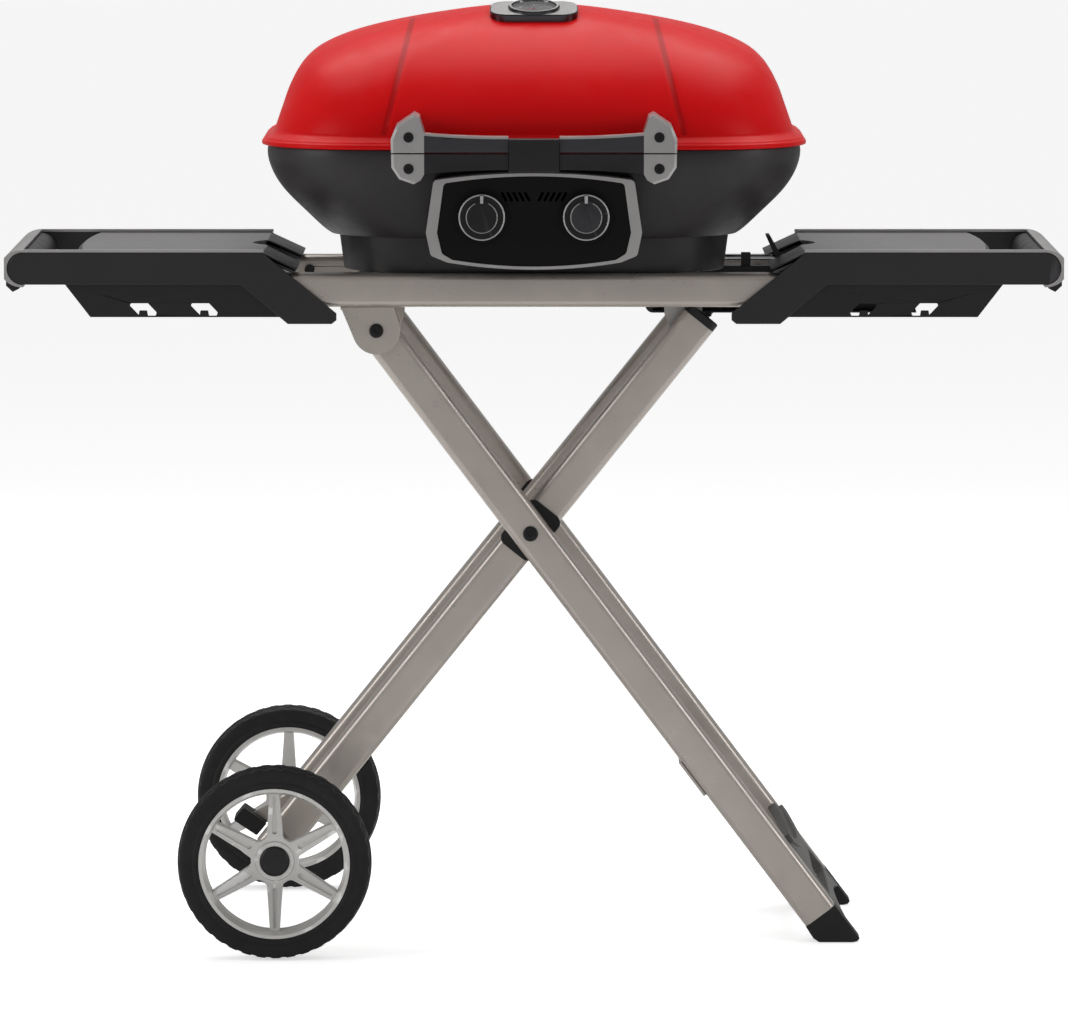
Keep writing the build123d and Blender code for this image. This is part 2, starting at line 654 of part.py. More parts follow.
PEDESTAL_LEVELS = ((RAIL_TOP, 201.0, -134.0, 134.0, 80), (748.0, 206.0, -138.0, 138.0, 82))
PAN_HALF_X = 80.0
RUNNER_Z = 733.0


def pedestal():
    """The skirt under the bowl that stands on the rails, with runners for the drip pan."""
    skirt = head_loft(PEDESTAL_LEVELS) - head_loft(PEDESTAL_LEVELS, grow=-4)
    for x in (-PAN_HALF_X - 5.5, PAN_HALF_X + 5.5):
        skirt += box(x - 3, x + 3, -134, 134, RUNNER_Z - 4, RUNNER_Z)
    skirt -= box(-PAN_HALF_X - 9, PAN_HALF_X + 9, 120, 160, 711.5, 743)
    for x, y0, y1 in ((PIPE_X, -150, -120), (PIPE_EXIT_X, 120, 150)):
        skirt -= rod_y(x, PIPE_Z, PIPE_R + 1, y0, y1)
    return skirt - rod_x(ROD_Y, ROD_Z, ROD_R + 1, 180, 220)


def drip_pan():
    """The grease pan that slides out of the back on the pedestal's runners."""
    body = box(-PAN_HALF_X, PAN_HALF_X, -118, 128, 714, 736)
    body -= box(-PAN_HALF_X + 1.5, PAN_HALF_X - 1.5, -116.5, 126.5, 715.5, 740)
    for side in (-1, 1):
        x0, x1 = sorted((side * (PAN_HALF_X - 1), side * (PAN_HALF_X + 8)))
        body += box(x0, x1, -118, 128, RUNNER_Z + 0.4, RUNNER_Z + 2)
    front = box(-PAN_HALF_X - 13, PAN_HALF_X + 13, 139, 141.5, 711.5, 744)
    front = fillet(front.edges().filter_by(Axis.Y), 4)
    lip = box(-40, 40, 141, 156, 738, 740.5)
    return body + front + lip + box(-PAN_HALF_X, PAN_HALF_X, 126, 140, 730, 732)


SEAT_GAP = 0.05            # between a casting's skin and a part shaped to sit on it
LIP_TOP_Z = 851.0


def lid_lip(grow=0.0):
    """The lip that runs round the bottom of the lid."""
    base = SPLIT_Z + LID_GAP - grow
    return extrude(head_section(base, 286.5 + grow, -204.5 - grow, 204.5 + grow, 113),
                   amount=LIP_TOP_Z - base + grow)


def lid_flare(grow=0.0):
    """The flare between the lip and the dome."""
    low = head_section(LIP_TOP_Z - 0.5, 281 + grow, -199 - grow, 199 + grow, 111)
    high = head_section(LID_BASE_Z, 274 + grow, -192 - grow, 192 + grow, 112)
    return loft(Sketch() + [low, high])


def cut_to_lid(part):
    """A part with the lid's outside taken out of it, so it sits on the lid."""
    part -= head_loft(LID_LEVELS, SEAT_GAP, ruled=True)
    part -= lid_lip(SEAT_GAP)
    return part - lid_flare(SEAT_GAP)


def lid_shell():
    """The red lid: a domed shell with a lip that overhangs the firebox."""
    lip = lid_lip()
    lip = fillet(lip.edges().group_by(Axis.Z)[-1], 2.5)
    hollow = [(z - SHELL, hx - SHELL, front + SHELL, back - SHELL, c - SHELL)
              for z, hx, front, back, c in LID_LEVELS]
    base = SPLIT_Z + LID_GAP
    rim_hollow = extrude(head_section(base - 1, 271, -189, 189, 109), amount=LID_BASE_Z - SHELL - base + 1)
    shell = head_loft(LID_LEVELS, ruled=True) + lid_flare() + lip
    shell -= head_loft(hollow, ruled=True) + rim_hollow
    return shell - dial_place(0) * Cylinder(PROBE_R + 1, 60)


# ---------------------------------------------------------------- lid hinge
def hinge_bracket():
    """Two ears on the back of the firebox with a base plate between them."""
    face_y = FIREBOX_LEVELS[-1][3] + 0.2
    x0, x1 = HINGE_X - 14, HINGE_X + 14
    plate = box(x0, x1, face_y, face_y + 3, 822, SPLIT_Z - 0.5)
    ear_plane = Plane(origin=(HINGE_X - 14, 0, 0), x_dir=(0, 1, 0), z_dir=(1, 0, 0))
    base_edge = Line((face_y + 1, 824), (face_y + 1, 836))
    knuckle = Pos(HINGE_Y, HINGE_Z) * Circle(7.5).edge()
    ear_face = make_face(make_hull([base_edge, knuckle]))
    ear_face -= Pos(190, 860) * Rectangle(2 * (206.4 - 190), 2 * (860 - 842))
    ear_face -= Pos(HINGE_Y, HINGE_Z) * Circle(3.05)
    ear = extrude(ear_plane * ear_face, amount=4)
    return plate + ear + Pos(24, 0, 0) * ear - head_loft(FIREBOX_LEVELS, grow=SEAT_GAP)


def hinge_arm():
    """The lid's half of a hinge: an arm from the lid's back wall to the pin."""
    arm = box(HINGE_X - 8, HINGE_X + 8, 180, HINGE_Y, HINGE_Z - 4.5, HINGE_Z + 7)
    arm += rod_x(HINGE_Y, HINGE_Z, 7, HINGE_X - 8, HINGE_X + 8)
    arm -= rod_x(HINGE_Y, HINGE_Z, 3.05, HINGE_X - 20, HINGE_X + 20)
    return cut_to_lid(arm)


def hinge_pin():
    """The pin of one lid hinge."""
    head = rod_x(HINGE_Y, HINGE_Z, 5, HINGE_X + 14.1, HINGE_X + 16.5)
    return rod_x(HINGE_Y, HINGE_Z, 3, HINGE_X - 15.5, HINGE_X + 15) + head


# ---------------------------------------------------------------- handles and latch
LATCH_HALF = 26.0
HANDLE_BOLT_X = 129.5
UPPER_BOLT_Z = 859.3
LOWER_BOLT_Z = 826.8
HALF_GAP = 0.7             # half the slot between the two handle halves
LATCH_Y = -252.0
LATCH_Z = 854.0
TRUNNION_R = 1.6
CORE_Y = -247.5


def upper_bar_face(grow=0.0):
    """The front outline of the lid's half of the handle; its top edge sags towards the latch."""
    low = SPLIT_Z + HALF_GAP
    arc = ThreePointArc((HANDLE_END_X, 861 + grow), (70, 858.2 + grow), (LATCH_HALF + 0.5, 857.4 + grow))
    edges = [Line((LATCH_HALF + 0.5, low), (HANDLE_END_X, low)),
             Line((HANDLE_END_X, low), (HANDLE_END_X, 861 + grow)), arc,
             Line((LATCH_HALF + 0.5, 857.4 + grow), (LATCH_HALF + 0.5, low))]
    return make_face(edges)


def upper_handle():
    """The lid's half of the front handle, set back in the middle to hold the latch."""
    wing = slab(upper_bar_face(), HANDLE_FRONT_Y, HANDLE_BACK_Y)
    wing = fillet(wing.edges().filter_by(Axis.X).group_by(Axis.Y)[0], 2.0)
    core = box(-LATCH_HALF - 1, LATCH_HALF + 1, CORE_Y, HANDLE_BACK_Y, SPLIT_Z + HALF_GAP, 857.4)
    bar = wing + mirror(wing, about=Plane.YZ) + core
    return bar - rod_x(LATCH_Y, LATCH_Z, TRUNNION_R + RUNNING_GAP, -LATCH_HALF - 5, LATCH_HALF + 5)


def lower_handle():
    """The firebox's half of the handle, with the groove that the latch snaps into."""
    high = SPLIT_Z - HALF_GAP
    arc = ThreePointArc((LATCH_HALF + 0.5, 825.6), (70, 824.6), (HANDLE_END_X, 821.5))
    edges = [Line((LATCH_HALF + 0.5, high), (LATCH_HALF + 0.5, 825.6)), arc,
             Line((HANDLE_END_X, 821.5), (HANDLE_END_X, high)),
             Line((HANDLE_END_X, high), (LATCH_HALF + 0.5, high))]
    wing = slab(make_face(edges), HANDLE_FRONT_Y, HANDLE_BACK_Y)
    core = box(-LATCH_HALF - 1, LATCH_HALF + 1, CORE_Y, HANDLE_BACK_Y, 822.5, high)
    groove = box(-LATCH_HALF - 1, LATCH_HALF + 1, CORE_Y - 1, CORE_Y + 2.8, 823.5, 830)
    return wing + mirror(wing, about=Plane.YZ) + core - groove


def upper_bracket():
    """The silver end bracket that holds the upper handle to the lid, with its strip over the handle."""
    low = SPLIT_Z + HALF_GAP
    face = outline((HANDLE_END_X, low), (147.6, low), (148, 857), (142.3, 871), (124.3, 883),
                   (118.5, 880), (116, 871), (HANDLE_END_X, 864))
    block = slab(face, HANDLE_FRONT_Y, -186)
    outer_edges = block.edges().filter_by(Plane.XZ).group_by(Axis.Y)[0]
    block = chamfer(outer_edges.filter_by(GeomType.LINE).sort_by(Axis.X)[-3:], 2.5)
    strip = slab(upper_bar_face(2.4), HANDLE_FRONT_Y + 0.5, HANDLE_BACK_Y)
    strip -= slab(upper_bar_face(0.05), HANDLE_FRONT_Y - 1, HANDLE_BACK_Y + 1)
    hollow = box(121, 143, -236, -180, low + 4, 868)
    bracket = cut_to_lid(block - hollow + strip)
    return bracket - rod_y(HANDLE_BOLT_X, UPPER_BOLT_Z, SCREW_R, -260, -180)


def lower_bracket():
    """The silver end bracket that holds the lower handle to the firebox."""
    high = SPLIT_Z - HALF_GAP
    face = outline((HANDLE_END_X, high), (147.6, high), (147.2, 828), (139.2, 816), (124.4, 810.8),
                   (117, 815), (HANDLE_END_X, 821))
    block = slab(face, HANDLE_FRONT_Y, -180)
    outer_edges = block.edges().filter_by(Plane.XZ).group_by(Axis.Y)[0]
    block = chamfer(outer_edges.filter_by(GeomType.LINE).sort_by(Axis.X)[-3:], 2.5)
    block -= box(121, 143, -236, -170, 816, high - 4)
    block -= head_loft(FIREBOX_LEVELS, grow=SEAT_GAP)
    return block - rod_y(HANDLE_BOLT_X, LOWER_BOLT_Z, SCREW_R, -260, -180)


def handle_bolt(z):
    """One black socket-headed bolt in the face of a handle bracket."""
    return flanged_pin(HANDLE_BOLT_X, z, HANDLE_FRONT_Y, SCREW_HEAD_R, 1.4, -237, SCREW_R - 0.02)


def rail_screw(x):
    """One of the screws that hold a shelf to the inside of a rail."""
    inner_face = RAIL_Y - RAIL_SIZE / 2
    shank = rod_y(x, RAIL_SCREW_Z, SCREW_R - 0.02, inner_face, inner_face + 4)
    head = rod_y(x, RAIL_SCREW_Z, SCREW_HEAD_R, inner_face - 3, inner_face)
    return shank + head


def lid_latch():
    """The centre latch: a plate on two trunnions, with a nose that snaps under the lower handle."""
    plate = box(-LATCH_HALF, LATCH_HALF, -WHEEL_FACE_Y, -250.5, 823, 857.4)
    plate = fillet(plate.edges().filter_by(Axis.X).group_by(Axis.Y)[0], 1.6)
    nose = box(-LATCH_HALF + 4, LATCH_HALF - 4, -251, -248.5, 824, 828)
    return plate + nose + rod_x(LATCH_Y, LATCH_Z, TRUNNION_R, -LATCH_HALF - 4, LATCH_HALF + 4)


# ---------------------------------------------------------------- thermometer
DIAL_Y = -48.0
DIAL_Z = 975.8
DIAL_TILT = 12.5
BEZEL_T = 9.0
CUP_R = 24.0
PROBE_R = 4.0
SPINDLE_R = 0.8


def dial_place(height):
    """A place on the thermometer's tilted axis, a height above the lid's skin."""
    return Pos(0, DIAL_Y, DIAL_Z) * Rot(DIAL_TILT, 0, 0) * Pos(0, 0, height)


def thermometer_bezel():
    """The bright round-cornered plate around the dial, shaped to sit on the lid."""
    face = RectangleRounded(93, 58, 19)
    plate = extrude(Pos(0, 0, -8) * face, amount=8 + BEZEL_T)
    plate = chamfer(plate.edges().group_by(Axis.Z)[-1], 1.2)
    ring = Pos(0, 0, BEZEL_T) * (Cylinder(CUP_R + 3.5, 3, align=(Align.CENTER, Align.CENTER, Align.MIN)))
    ring = chamfer(ring.edges().group_by(Axis.Z)[-1], 1.4)
    cup = Pos(0, 0, 2.5) * Cylinder(CUP_R, 20, align=(Align.CENTER, Align.CENTER, Align.MIN))
    body = plate + ring - cup - Pos(0, 0, -10) * Cylinder(PROBE_R + 0.2, 30)
    return dial_place(0) * body - head_loft(LID_LEVELS, SEAT_GAP, ruled=True)


def thermometer_dial():
    """The dial disc with its probe below and the needle's spindle above."""
    disc = Pos(0, 0, 5.0) * Cylinder(CUP_R - 0.3, 1.2, align=(Align.CENTER, Align.CENTER, Align.MIN))
    probe = Pos(0, 0, -40) * Cylinder(PROBE_R, 46, align=(Align.CENTER, Align.CENTER, Align.MIN))
    spindle = Pos(0, 0, 6) * Cylinder(SPINDLE_R, 2.6, align=(Align.CENTER, Align.CENTER, Align.MIN))
    return dial_place(0) * (disc + probe + spindle)


def thermometer_needle():
    """The pointer, turning on the dial's spindle."""
    hub = Cylinder(2.6, 1.0) - Cylinder(SPINDLE_R + RUNNING_GAP, 4)
    arm = Pos(0, 9, 0) * Box(1.6, 17, 0.6) - Cylinder(2, 4)
    return dial_place(7.4) * Rot(0, 0, NEEDLE_REST) * (hub + arm)


def thermometer_glass():
    """The clear window over the dial."""
    return dial_place(9.6) * Cylinder(CUP_R - 0.2, 1.4, align=(Align.CENTER, Align.CENTER, Align.MIN))


NEEDLE_REST = 120.0


# ---------------------------------------------------------------- control panel
def panel_face_outline(inset=0.0):
    """The control panel's outline: arched top, flared sides and a bulging bottom."""
    top_corner = (104 - inset, 814 - 0.3 * inset)
    side = (112 - 1.1 * inset, 759.6)
    low_side = (107 - 1.1 * inset, 736 + 0.2 * inset)
    low_corner = (90 - 0.5 * inset, 729 + 0.25 * inset)
    edges = [
        ThreePointArc((-top_corner[0], top_corner[1]), (0, 821.5 - 0.3 * inset), top_corner),
        Line(top_corner, side),
        Line(side, low_side),
        Line(low_side, low_corner),
        ThreePointArc(low_corner, (0, 721.5 + 0.3 * inset), (-low_corner[0], low_corner[1])),
        Line((-low_corner[0], low_corner[1]), (-low_side[0], low_side[1])),
        Line((-low_side[0], low_side[1]), (-side[0], side[1])),
        Line((-side[0], side[1]), (-top_corner[0], top_corner[1])),
    ]
    face = make_face(edges)
    return fillet(face.vertices(), 5)


FACE_T = 3.0


def control_housing():
    """The black box behind the panel, hollow and cut to the bowl and the pedestal behind it."""
    shell = slab(panel_face_outline(), PANEL_FRONT_Y + FACE_T, -139)
    inner = offset(panel_face_outline(), -3)
    shell -= slab(inner, PANEL_FRONT_Y + FACE_T - 1, -130)
    shell -= head_loft(FIREBOX_LEVELS, grow=0.3)
    return shell - head_loft(PEDESTAL_LEVELS, grow=0.3)


def control_trim():
    """The silver band around the control panel, broad at the sides and thin above and below."""
    return slab(panel_face_outline() - panel_face_outline(10.5), PANEL_FRONT_Y - 1.5, PANEL_FRONT_Y + FACE_T)


VENT_LEAN = 28.0


def control_face():
    """The black front plate with stem holes, dished rings, arcs and two groups of slanted slots."""
    plate = slab(offset(panel_face_outline(10.5), -0.1), PANEL_FRONT_Y, PANEL_FRONT_Y + FACE_T)
    for side in (-1, 1):
        x = side * KNOB_X
        plate -= rod_y(x, KNOB_Z, STEM_R + 1.5, PANEL_FRONT_Y - 1, PANEL_FRONT_Y + 5)
        ring = rod_y(x, KNOB_Z, 29.5, PANEL_FRONT_Y - 1, PANEL_FRONT_Y + 0.8)
        plate -= ring - rod_y(x, KNOB_Z, 27.3, PANEL_FRONT_Y - 2, PANEL_FRONT_Y + 2)
        for index in range(5):
            slot = Pos(side * (7 + index * 6), 797) * Rot(0, 0, 90 - side * VENT_LEAN) * SlotOverall(11, 2.8)
            plate -= slab(slot, PANEL_FRONT_Y - 1, PANEL_FRONT_Y + 5)
    return plate


# ---------------------------------------------------------------- gas parts
STEM_R = 3.0
STEM_TIP_Y = -248.0
VALVE_FRONT_Y = -232.0
VALVE_BACK_Y = -206.0
MANIFOLD_Z = 757.0


def gas_valve():
    """One brass valve with a bore for the stem, a jet at the back and a saddle on the manifold."""
    body = box(KNOB_X - 9, KNOB_X + 9, VALVE_FRONT_Y, VALVE_BACK_Y, MANIFOLD_Z + PIPE_R, KNOB_Z + 10)
    body = fillet(body.edges().filter_by(Axis.Y), 2)
    body += rod_y(KNOB_X, KNOB_Z, 6, VALVE_FRONT_Y - 2, VALVE_FRONT_Y + 1)
    body += rod_y(KNOB_X, KNOB_Z, 4, VALVE_BACK_Y - 1, -197)
    body -= rod_y(KNOB_X, KNOB_Z, 1, -200, -190)
    return body - rod_y(KNOB_X, KNOB_Z, STEM_R + RUNNING_GAP, -240, -213)


def valve_stem():
    """The round stem that a knob turns."""
    stem = rod_y(KNOB_X, KNOB_Z, STEM_R, STEM_TIP_Y, -213.5)
    flat = box(KNOB_X - 4, KNOB_X + 4, STEM_TIP_Y - 1, STEM_TIP_Y + 4, KNOB_Z + 2, KNOB_Z + 4)
    return stem - flat


KNOB_FRONT_Y = -255.5
KNOB_BACK_Y = -243.5
KNOB_PRESS = 4.0           # how far a knob is pushed in before it turns


def knob():
    """One round knob with a raised centre, a pointer bar and a blind bore for its stem."""
    body = rod_y(KNOB_X, KNOB_Z, KNOB_R, KNOB_BACK_Y, KNOB_FRONT_Y + 1.5)
    body = fillet(body.edges().filter_by(GeomType.CIRCLE).sort_by(Axis.Y)[0], 1.8)
    body += rod_y(KNOB_X, KNOB_Z, 17, KNOB_FRONT_Y, KNOB_BACK_Y)
    body += box(KNOB_X - 2, KNOB_X + 2, KNOB_FRONT_Y, KNOB_BACK_Y, KNOB_Z + 14, KNOB_Z + 23)
    bore = rod_y(KNOB_X, KNOB_Z, STEM_R + 2 * RUNNING_GAP, KNOB_BACK_Y + 1, STEM_TIP_Y - KNOB_PRESS - 0.3)
    return body - bore


BURNER_FAR_X = KNOB_X + 92.0
BURNER_END_Y = 118.0


def burner():
    """One tube burner: a straight inlet from its valve that runs round into a closed loop."""
    x0, x1, y1 = KNOB_X, BURNER_FAR_X, BURNER_END_Y
    out = FilletPolyline((x0, -202, KNOB_Z), (x0, y1, KNOB_Z), (x1, y1, KNOB_Z), (x1, 0, KNOB_Z), radius=36)
    home = FilletPolyline((x1, 0, KNOB_Z), (x1, -y1, KNOB_Z), (x0, -y1, KNOB_Z), radius=36)
    tube = sweep(Plane(origin=(x0, -202, KNOB_Z), z_dir=(0, 1, 0)) * Circle(BURNER_R), path=out)
    tube += sweep(Plane(origin=(x1, 0, KNOB_Z), z_dir=(0, -1, 0)) * Circle(BURNER_R - 1), path=home)
    return tube - rod_y(x0, KNOB_Z, 6, -203, -150)


def heat_plate():
    """A folded roof of sheet steel that shields one burner from drips."""
    x = KNOB_X + 48
    outer = outline((x - 62, 792), (x, 806), (x + 62, 792), (x + 62, 793.8), (x, 808), (x - 62, 793.8))
    return slab(outer, -135, 135)


GRID_T = 10.0
GRID_BARS = 15


def cooking_grid():
    """One cast-iron grid: a frame with bars from front to back."""
    z0 = LEDGE_Z
    face = RectangleRounded(532, 368, 88) - RectangleRounded(532 - 24, 368 - 24, 78)
    frame = extrude(Plane.XY.offset(z0) * face, amount=GRID_T)
    frame = frame & box(1, 300, -300, 300, z0 - 1, z0 + 20)
    frame += box(1, 11, -176, 176, z0, z0 + GRID_T)
    limit = extrude(Plane.XY.offset(z0) * RectangleRounded(520, 356, 84), amount=GRID_T)
    for index in range(1, GRID_BARS):
        x = 8 + index * 16.5
        frame += box(x, x + 6.5, -178, 178, z0 + 1, z0 + GRID_T) & limit
    for y in (-62, 62):
        frame += box(4, 256, y - 3, y + 3, z0 + 1, z0 + 6) & limit
    return frame


def gas_manifold():
    """The pipe that feeds both valves and runs back under the bowl to the regulator."""
    y = -219.0
    path = FilletPolyline((-66, y, MANIFOLD_Z), (PIPE_X, y, MANIFOLD_Z), (PIPE_X, -194, PIPE_Z),
                          (PIPE_X, -100, PIPE_Z), (PIPE_EXIT_X, -50, PIPE_Z),
                          (PIPE_EXIT_X, 152, PIPE_Z), radius=11)
    section = Plane(origin=(-66, y, MANIFOLD_Z), z_dir=(1, 0, 0)) * Circle(PIPE_R)
    return sweep(section, path=path)


INLET_R = 12.7
INLET_DEPTH = 14.0
REGULATOR_END_Y = 203.0


def regulator():
    """The gas regulator behind the cart, with the threaded socket that a gas bottle screws into."""
    body = rod_y(PIPE_EXIT_X, PIPE_Z, 24, 160, 184)
    body = fillet(body.edges().filter_by(GeomType.CIRCLE), 3)
    collar = rod_y(PIPE_EXIT_X, PIPE_Z, 8, 152, 162)
    socket = rod_y(PIPE_EXIT_X, PIPE_Z, 17, 180, REGULATOR_END_Y)
    knurl = body + collar + socket
    return knurl - rod_y(PIPE_EXIT_X, PIPE_Z, INLET_R, REGULATOR_END_Y - INLET_DEPTH, REGULATOR_END_Y + 1)


# ---------------------------------------------------------------- scissor release
ROD_R = 3.0
ROD_Y = 0.0
ROD_Z = 716.5


def release_rod():
    """The chrome pull rod with its leaning black loop, which frees the slide carriages."""
    rod = rod_x(ROD_Y, ROD_Z, ROD_R, 150, 263)
    grip = slab(outline((260, 712), (267.5, 712), (251, 741.6), (246.5, 741.6), radius=1.2), -13, 13)
    grip -= box(230, 280, -8.5, 8.5, 723, 737)
    return [rod, grip - rod_x(ROD_Y, ROD_Z, ROD_R, 140, 263)]


def rod_guide():
    """The black bar on two crossmembers that carries the release rod in two eyes."""
    bar = box(CROSSMEMBER_XS[1] - 6, CROSSMEMBER_XS[2] + 6, -8, 8, CROSSMEMBER_Z + CROSSMEMBER_SIZE / 2, 708)
    for x in (168, 226):
        bar += box(x - 5, x + 5, -6, 6, 707, 722)
    return bar - rod_x(ROD_Y, ROD_Z, ROD_R + 0.3, 150, 240)


def main():
    """Write every node."""
    os.makedirs("parts", exist_ok=True)
    export_node("front_rail", rail(-1))
    export_node("rear_rail", rail(1))
    export_node("rail_crossmembers", rail_crossmembers(), rod_guide())
    export_node("leg_brackets", both_sides(leg_bracket()))
    export_node("pivot_pins", both_sides(leg_pivot_pin()), left_and_right(hinge_pin()))
    export_node("slide_tracks", both_sides(slide_track()))
    screws = [rail_screw(x) for x in SHELF_SCREW_X]
    export_node("frame_screws", both_sides(screws[0]), both_sides(screws[1]),
                left_and_right(handle_bolt(LOWER_BOLT_Z)))

    right_frame = shelf_frame()
    export_node("right_shelf_frame", right_frame)
    export_node("left_shelf_frame", mirror(right_frame, about=Plane.YZ))
    export_node("shelf_trays", left_and_right(shelf_tray()))
    export_node("shelf_trims", left_and_right(shelf_trim()))
    plates = both_sides(hook_plate())
    export_node("shelf_tool_hooks", left_and_right(plates[0]), left_and_right(plates[1]),
                left_and_right(tool_rack()))

    export_node("firebox", firebox())
    export_node("pedestal", pedestal())
    export_node("drip_pan", drip_pan())
    export_node("burners", left_and_right(burner()))
    export_node("heat_plates", left_and_right(heat_plate()))
    export_node("cooking_grids", left_and_right(cooking_grid()))
    export_node("gas_valves", left_and_right(gas_valve()))
    export_node("gas_manifold", gas_manifold())
    export_node("regulator", regulator())
    export_node("control_housing", control_housing())
    export_node("control_trim", control_trim())
    export_node("control_face", control_face())
    for name, mirrored in (("right", False), ("left", True)):
        stem = valve_stem()
        turn_knob = knob()
        if mirrored:
            stem = mirror(stem, about=Plane.YZ)
            turn_knob = mirror(turn_knob, about=Plane.YZ)
        export_node(f"{name}_valve_stem", stem)
        export_node(f"{name}_knob", turn_knob)
    export_node("lower_handle", lower_handle())
    export_node("lower_handle_brackets", left_and_right(lower_bracket()))
    export_node("hinge_brackets", left_and_right(hinge_bracket()))

    export_node("lid_shell", lid_shell())
    export_node("lid_hinge_arms", left_and_right(hinge_arm()))
    export_node("upper_handle", upper_handle())
    export_node("upper_handle_brackets", left_and_right(upper_bracket()))
    export_node("upper_handle_bolts", left_and_right(handle_bolt(UPPER_BOLT_Z)))
    export_node("lid_latch", lid_latch())
    export_node("thermometer_bezel", thermometer_bezel())
    export_node("thermometer_dial", thermometer_dial())
    export_node("thermometer_needle", thermometer_needle())
    export_node("thermometer_glass", thermometer_glass())

    export_node("outer_leg_tubes", both_sides(outer_leg()))
    export_node("outer_crossbar", outer_crossbar())
    export_node("foot_caps", both_sides(foot_cap()))
    export_node("transport_handle", transport_handle())
    export_node("crossing_bolts", both_sides(crossing_bolt()))
    export_node("inner_leg_tubes", both_sides(inner_leg()))
    export_node("inner_crossbar", inner_crossbar())
    export_node("inner_leg_caps", both_sides(inner_leg_cap()))
    export_node("inner_leg_pads", both_sides(crossing_pad()), leg_bumper())
    export_node("wheel_axle", wheel_axle())
    export_node("slide_carriages", both_sides(slide_carriage()))
    export_node("slide_pins", both_sides(slide_pin()))
    export_node("release_rod", release_rod())
    rear_tyre, rear_rim, rear_cap = tyre(), rim(), hub_cap()
    for name, piece in (("tyre", rear_tyre), ("rim", rear_rim), ("hub_cap", rear_cap)):
        export_node(f"rear_{name}", piece)
        export_node(f"front_{name}", mirror(piece, about=Plane.XZ))


main()
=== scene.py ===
"""Looks for the folding-cart gas grill: fine surfaces, procedural finishes, a pale studio and the camera."""

import math

import bpy
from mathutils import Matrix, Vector


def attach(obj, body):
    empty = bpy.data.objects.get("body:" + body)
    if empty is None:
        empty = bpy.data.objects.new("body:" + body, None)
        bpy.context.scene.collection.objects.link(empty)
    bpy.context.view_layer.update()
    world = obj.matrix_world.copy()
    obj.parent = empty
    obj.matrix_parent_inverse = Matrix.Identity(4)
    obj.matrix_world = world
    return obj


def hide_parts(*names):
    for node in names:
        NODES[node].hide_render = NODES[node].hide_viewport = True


MM = 0.001

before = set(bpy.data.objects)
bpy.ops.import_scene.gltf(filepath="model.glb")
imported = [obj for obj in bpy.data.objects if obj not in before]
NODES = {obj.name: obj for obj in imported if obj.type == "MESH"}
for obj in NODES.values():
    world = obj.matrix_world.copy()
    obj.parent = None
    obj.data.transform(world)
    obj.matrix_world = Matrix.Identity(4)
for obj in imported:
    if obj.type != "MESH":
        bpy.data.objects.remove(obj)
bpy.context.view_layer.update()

# ---------------------------------------------------------------- sizes shared with the CAD part, in mm
LID_BASE_Z = 857.0
LID_RISE = 131.0
LID_CREST_Y = 12.0
LID_FRONT = (204.0, 1.75)  # reach from the crest at the base, and the power of its curve
LID_BACK = (180.0, 2.1)
# (height, half width) up the lid, from its base to its crest
LID_HALF_WIDTHS = (
    (857.0, 274.0), (882.0, 265.5), (908.0, 256.0), (927.0, 244.5), (944.0, 224.0), (957.5, 193.0),
    (968.5, 151.0), (978.0, 98.0), (985.0, 44.0), (987.4, 14.0),
)
SHELL = 3.0                # the lid's wall
AXLE = (-271.0, 101.5)
WHEEL_R = 101.5
RIM_R = 79.0
WHEEL_FACE_Y = 256.0
TYRE_WIDTH = 40.0
KNOB_X = 54.0
KNOB_Z = 776.5
KNOB_FRONT_Y = -255.5
SLOPE_TOP_X = 284.0        # a shelf's tray slopes down to the rail inwards of here
ROD_Y = 0.0
ROD_Z = 716.5
ROD_R = 3.0
GUIDE_LOW_Z = 700.0        # the rod's guide bar is above this height
GUIDE_HALF_Y = 8.1
DIAL_TILT = math.radians(12.5)
DIAL_Y = -48.0
DIAL_Z = 975.8
DIAL_MARK_UP = 6.28        # height of the tick marks along the dial's axis
DIAL_AXIS = Vector((0.0, -math.sin(DIAL_TILT), math.cos(DIAL_TILT)))
FACES_UP = 0.8             # a face whose normal agrees this well with the dial's axis is its front
TOUCH = 0.3                # a point further than this from the rod's surface isn't on the rod

# ---------------------------------------------------------------- the centre band on the lid's front, in mm
CREASE_X = 154.0           # half width of the band at CREASE_Z
CREASE_Z = 872.0
CREASE_LEAN = 0.243        # how much the band narrows with height
CREASE_WIDTH = 4.5
CREASE_HEIGHT = 2.2
CREASE_DIP = 1.0
CREASE_LOW_Z = 858.0       # the band is flush below this height
CREASE_FADE = 12.0         # and reaches its full height this much higher
# this line and the next three place the painted shade line along the band's edges
LINE_INSET = 1.0           # the drawn line runs this far inside the band's edge
LINE_CORE = 1.5            # half width of its full colour
LINE_FADE = 4.5            # half width at which it has gone
LINE_FRONT_Y = -20.0       # it is drawn only in front of this


def crease_x(z):
    """How far from the middle the edges of the lid's centre band run at a height."""
    return CREASE_X - (z - CREASE_Z) * CREASE_LEAN


# ---------------------------------------------------------------- finishes
NOISE_MIDDLE = (0.3, 0.7)  # most of a noise's values are between these
PATCH_SCALE = 14.0
SHEEN_SCALE = 45.0
WORN_EDGE = (0.52, 0.60)   # pointiness at which wear starts and is full
# the Mix node's colour sockets share their names, so they are picked by number
MIX_AMOUNT, MIX_FIRST, MIX_SECOND, MIX_RESULT = 0, 6, 7, 2


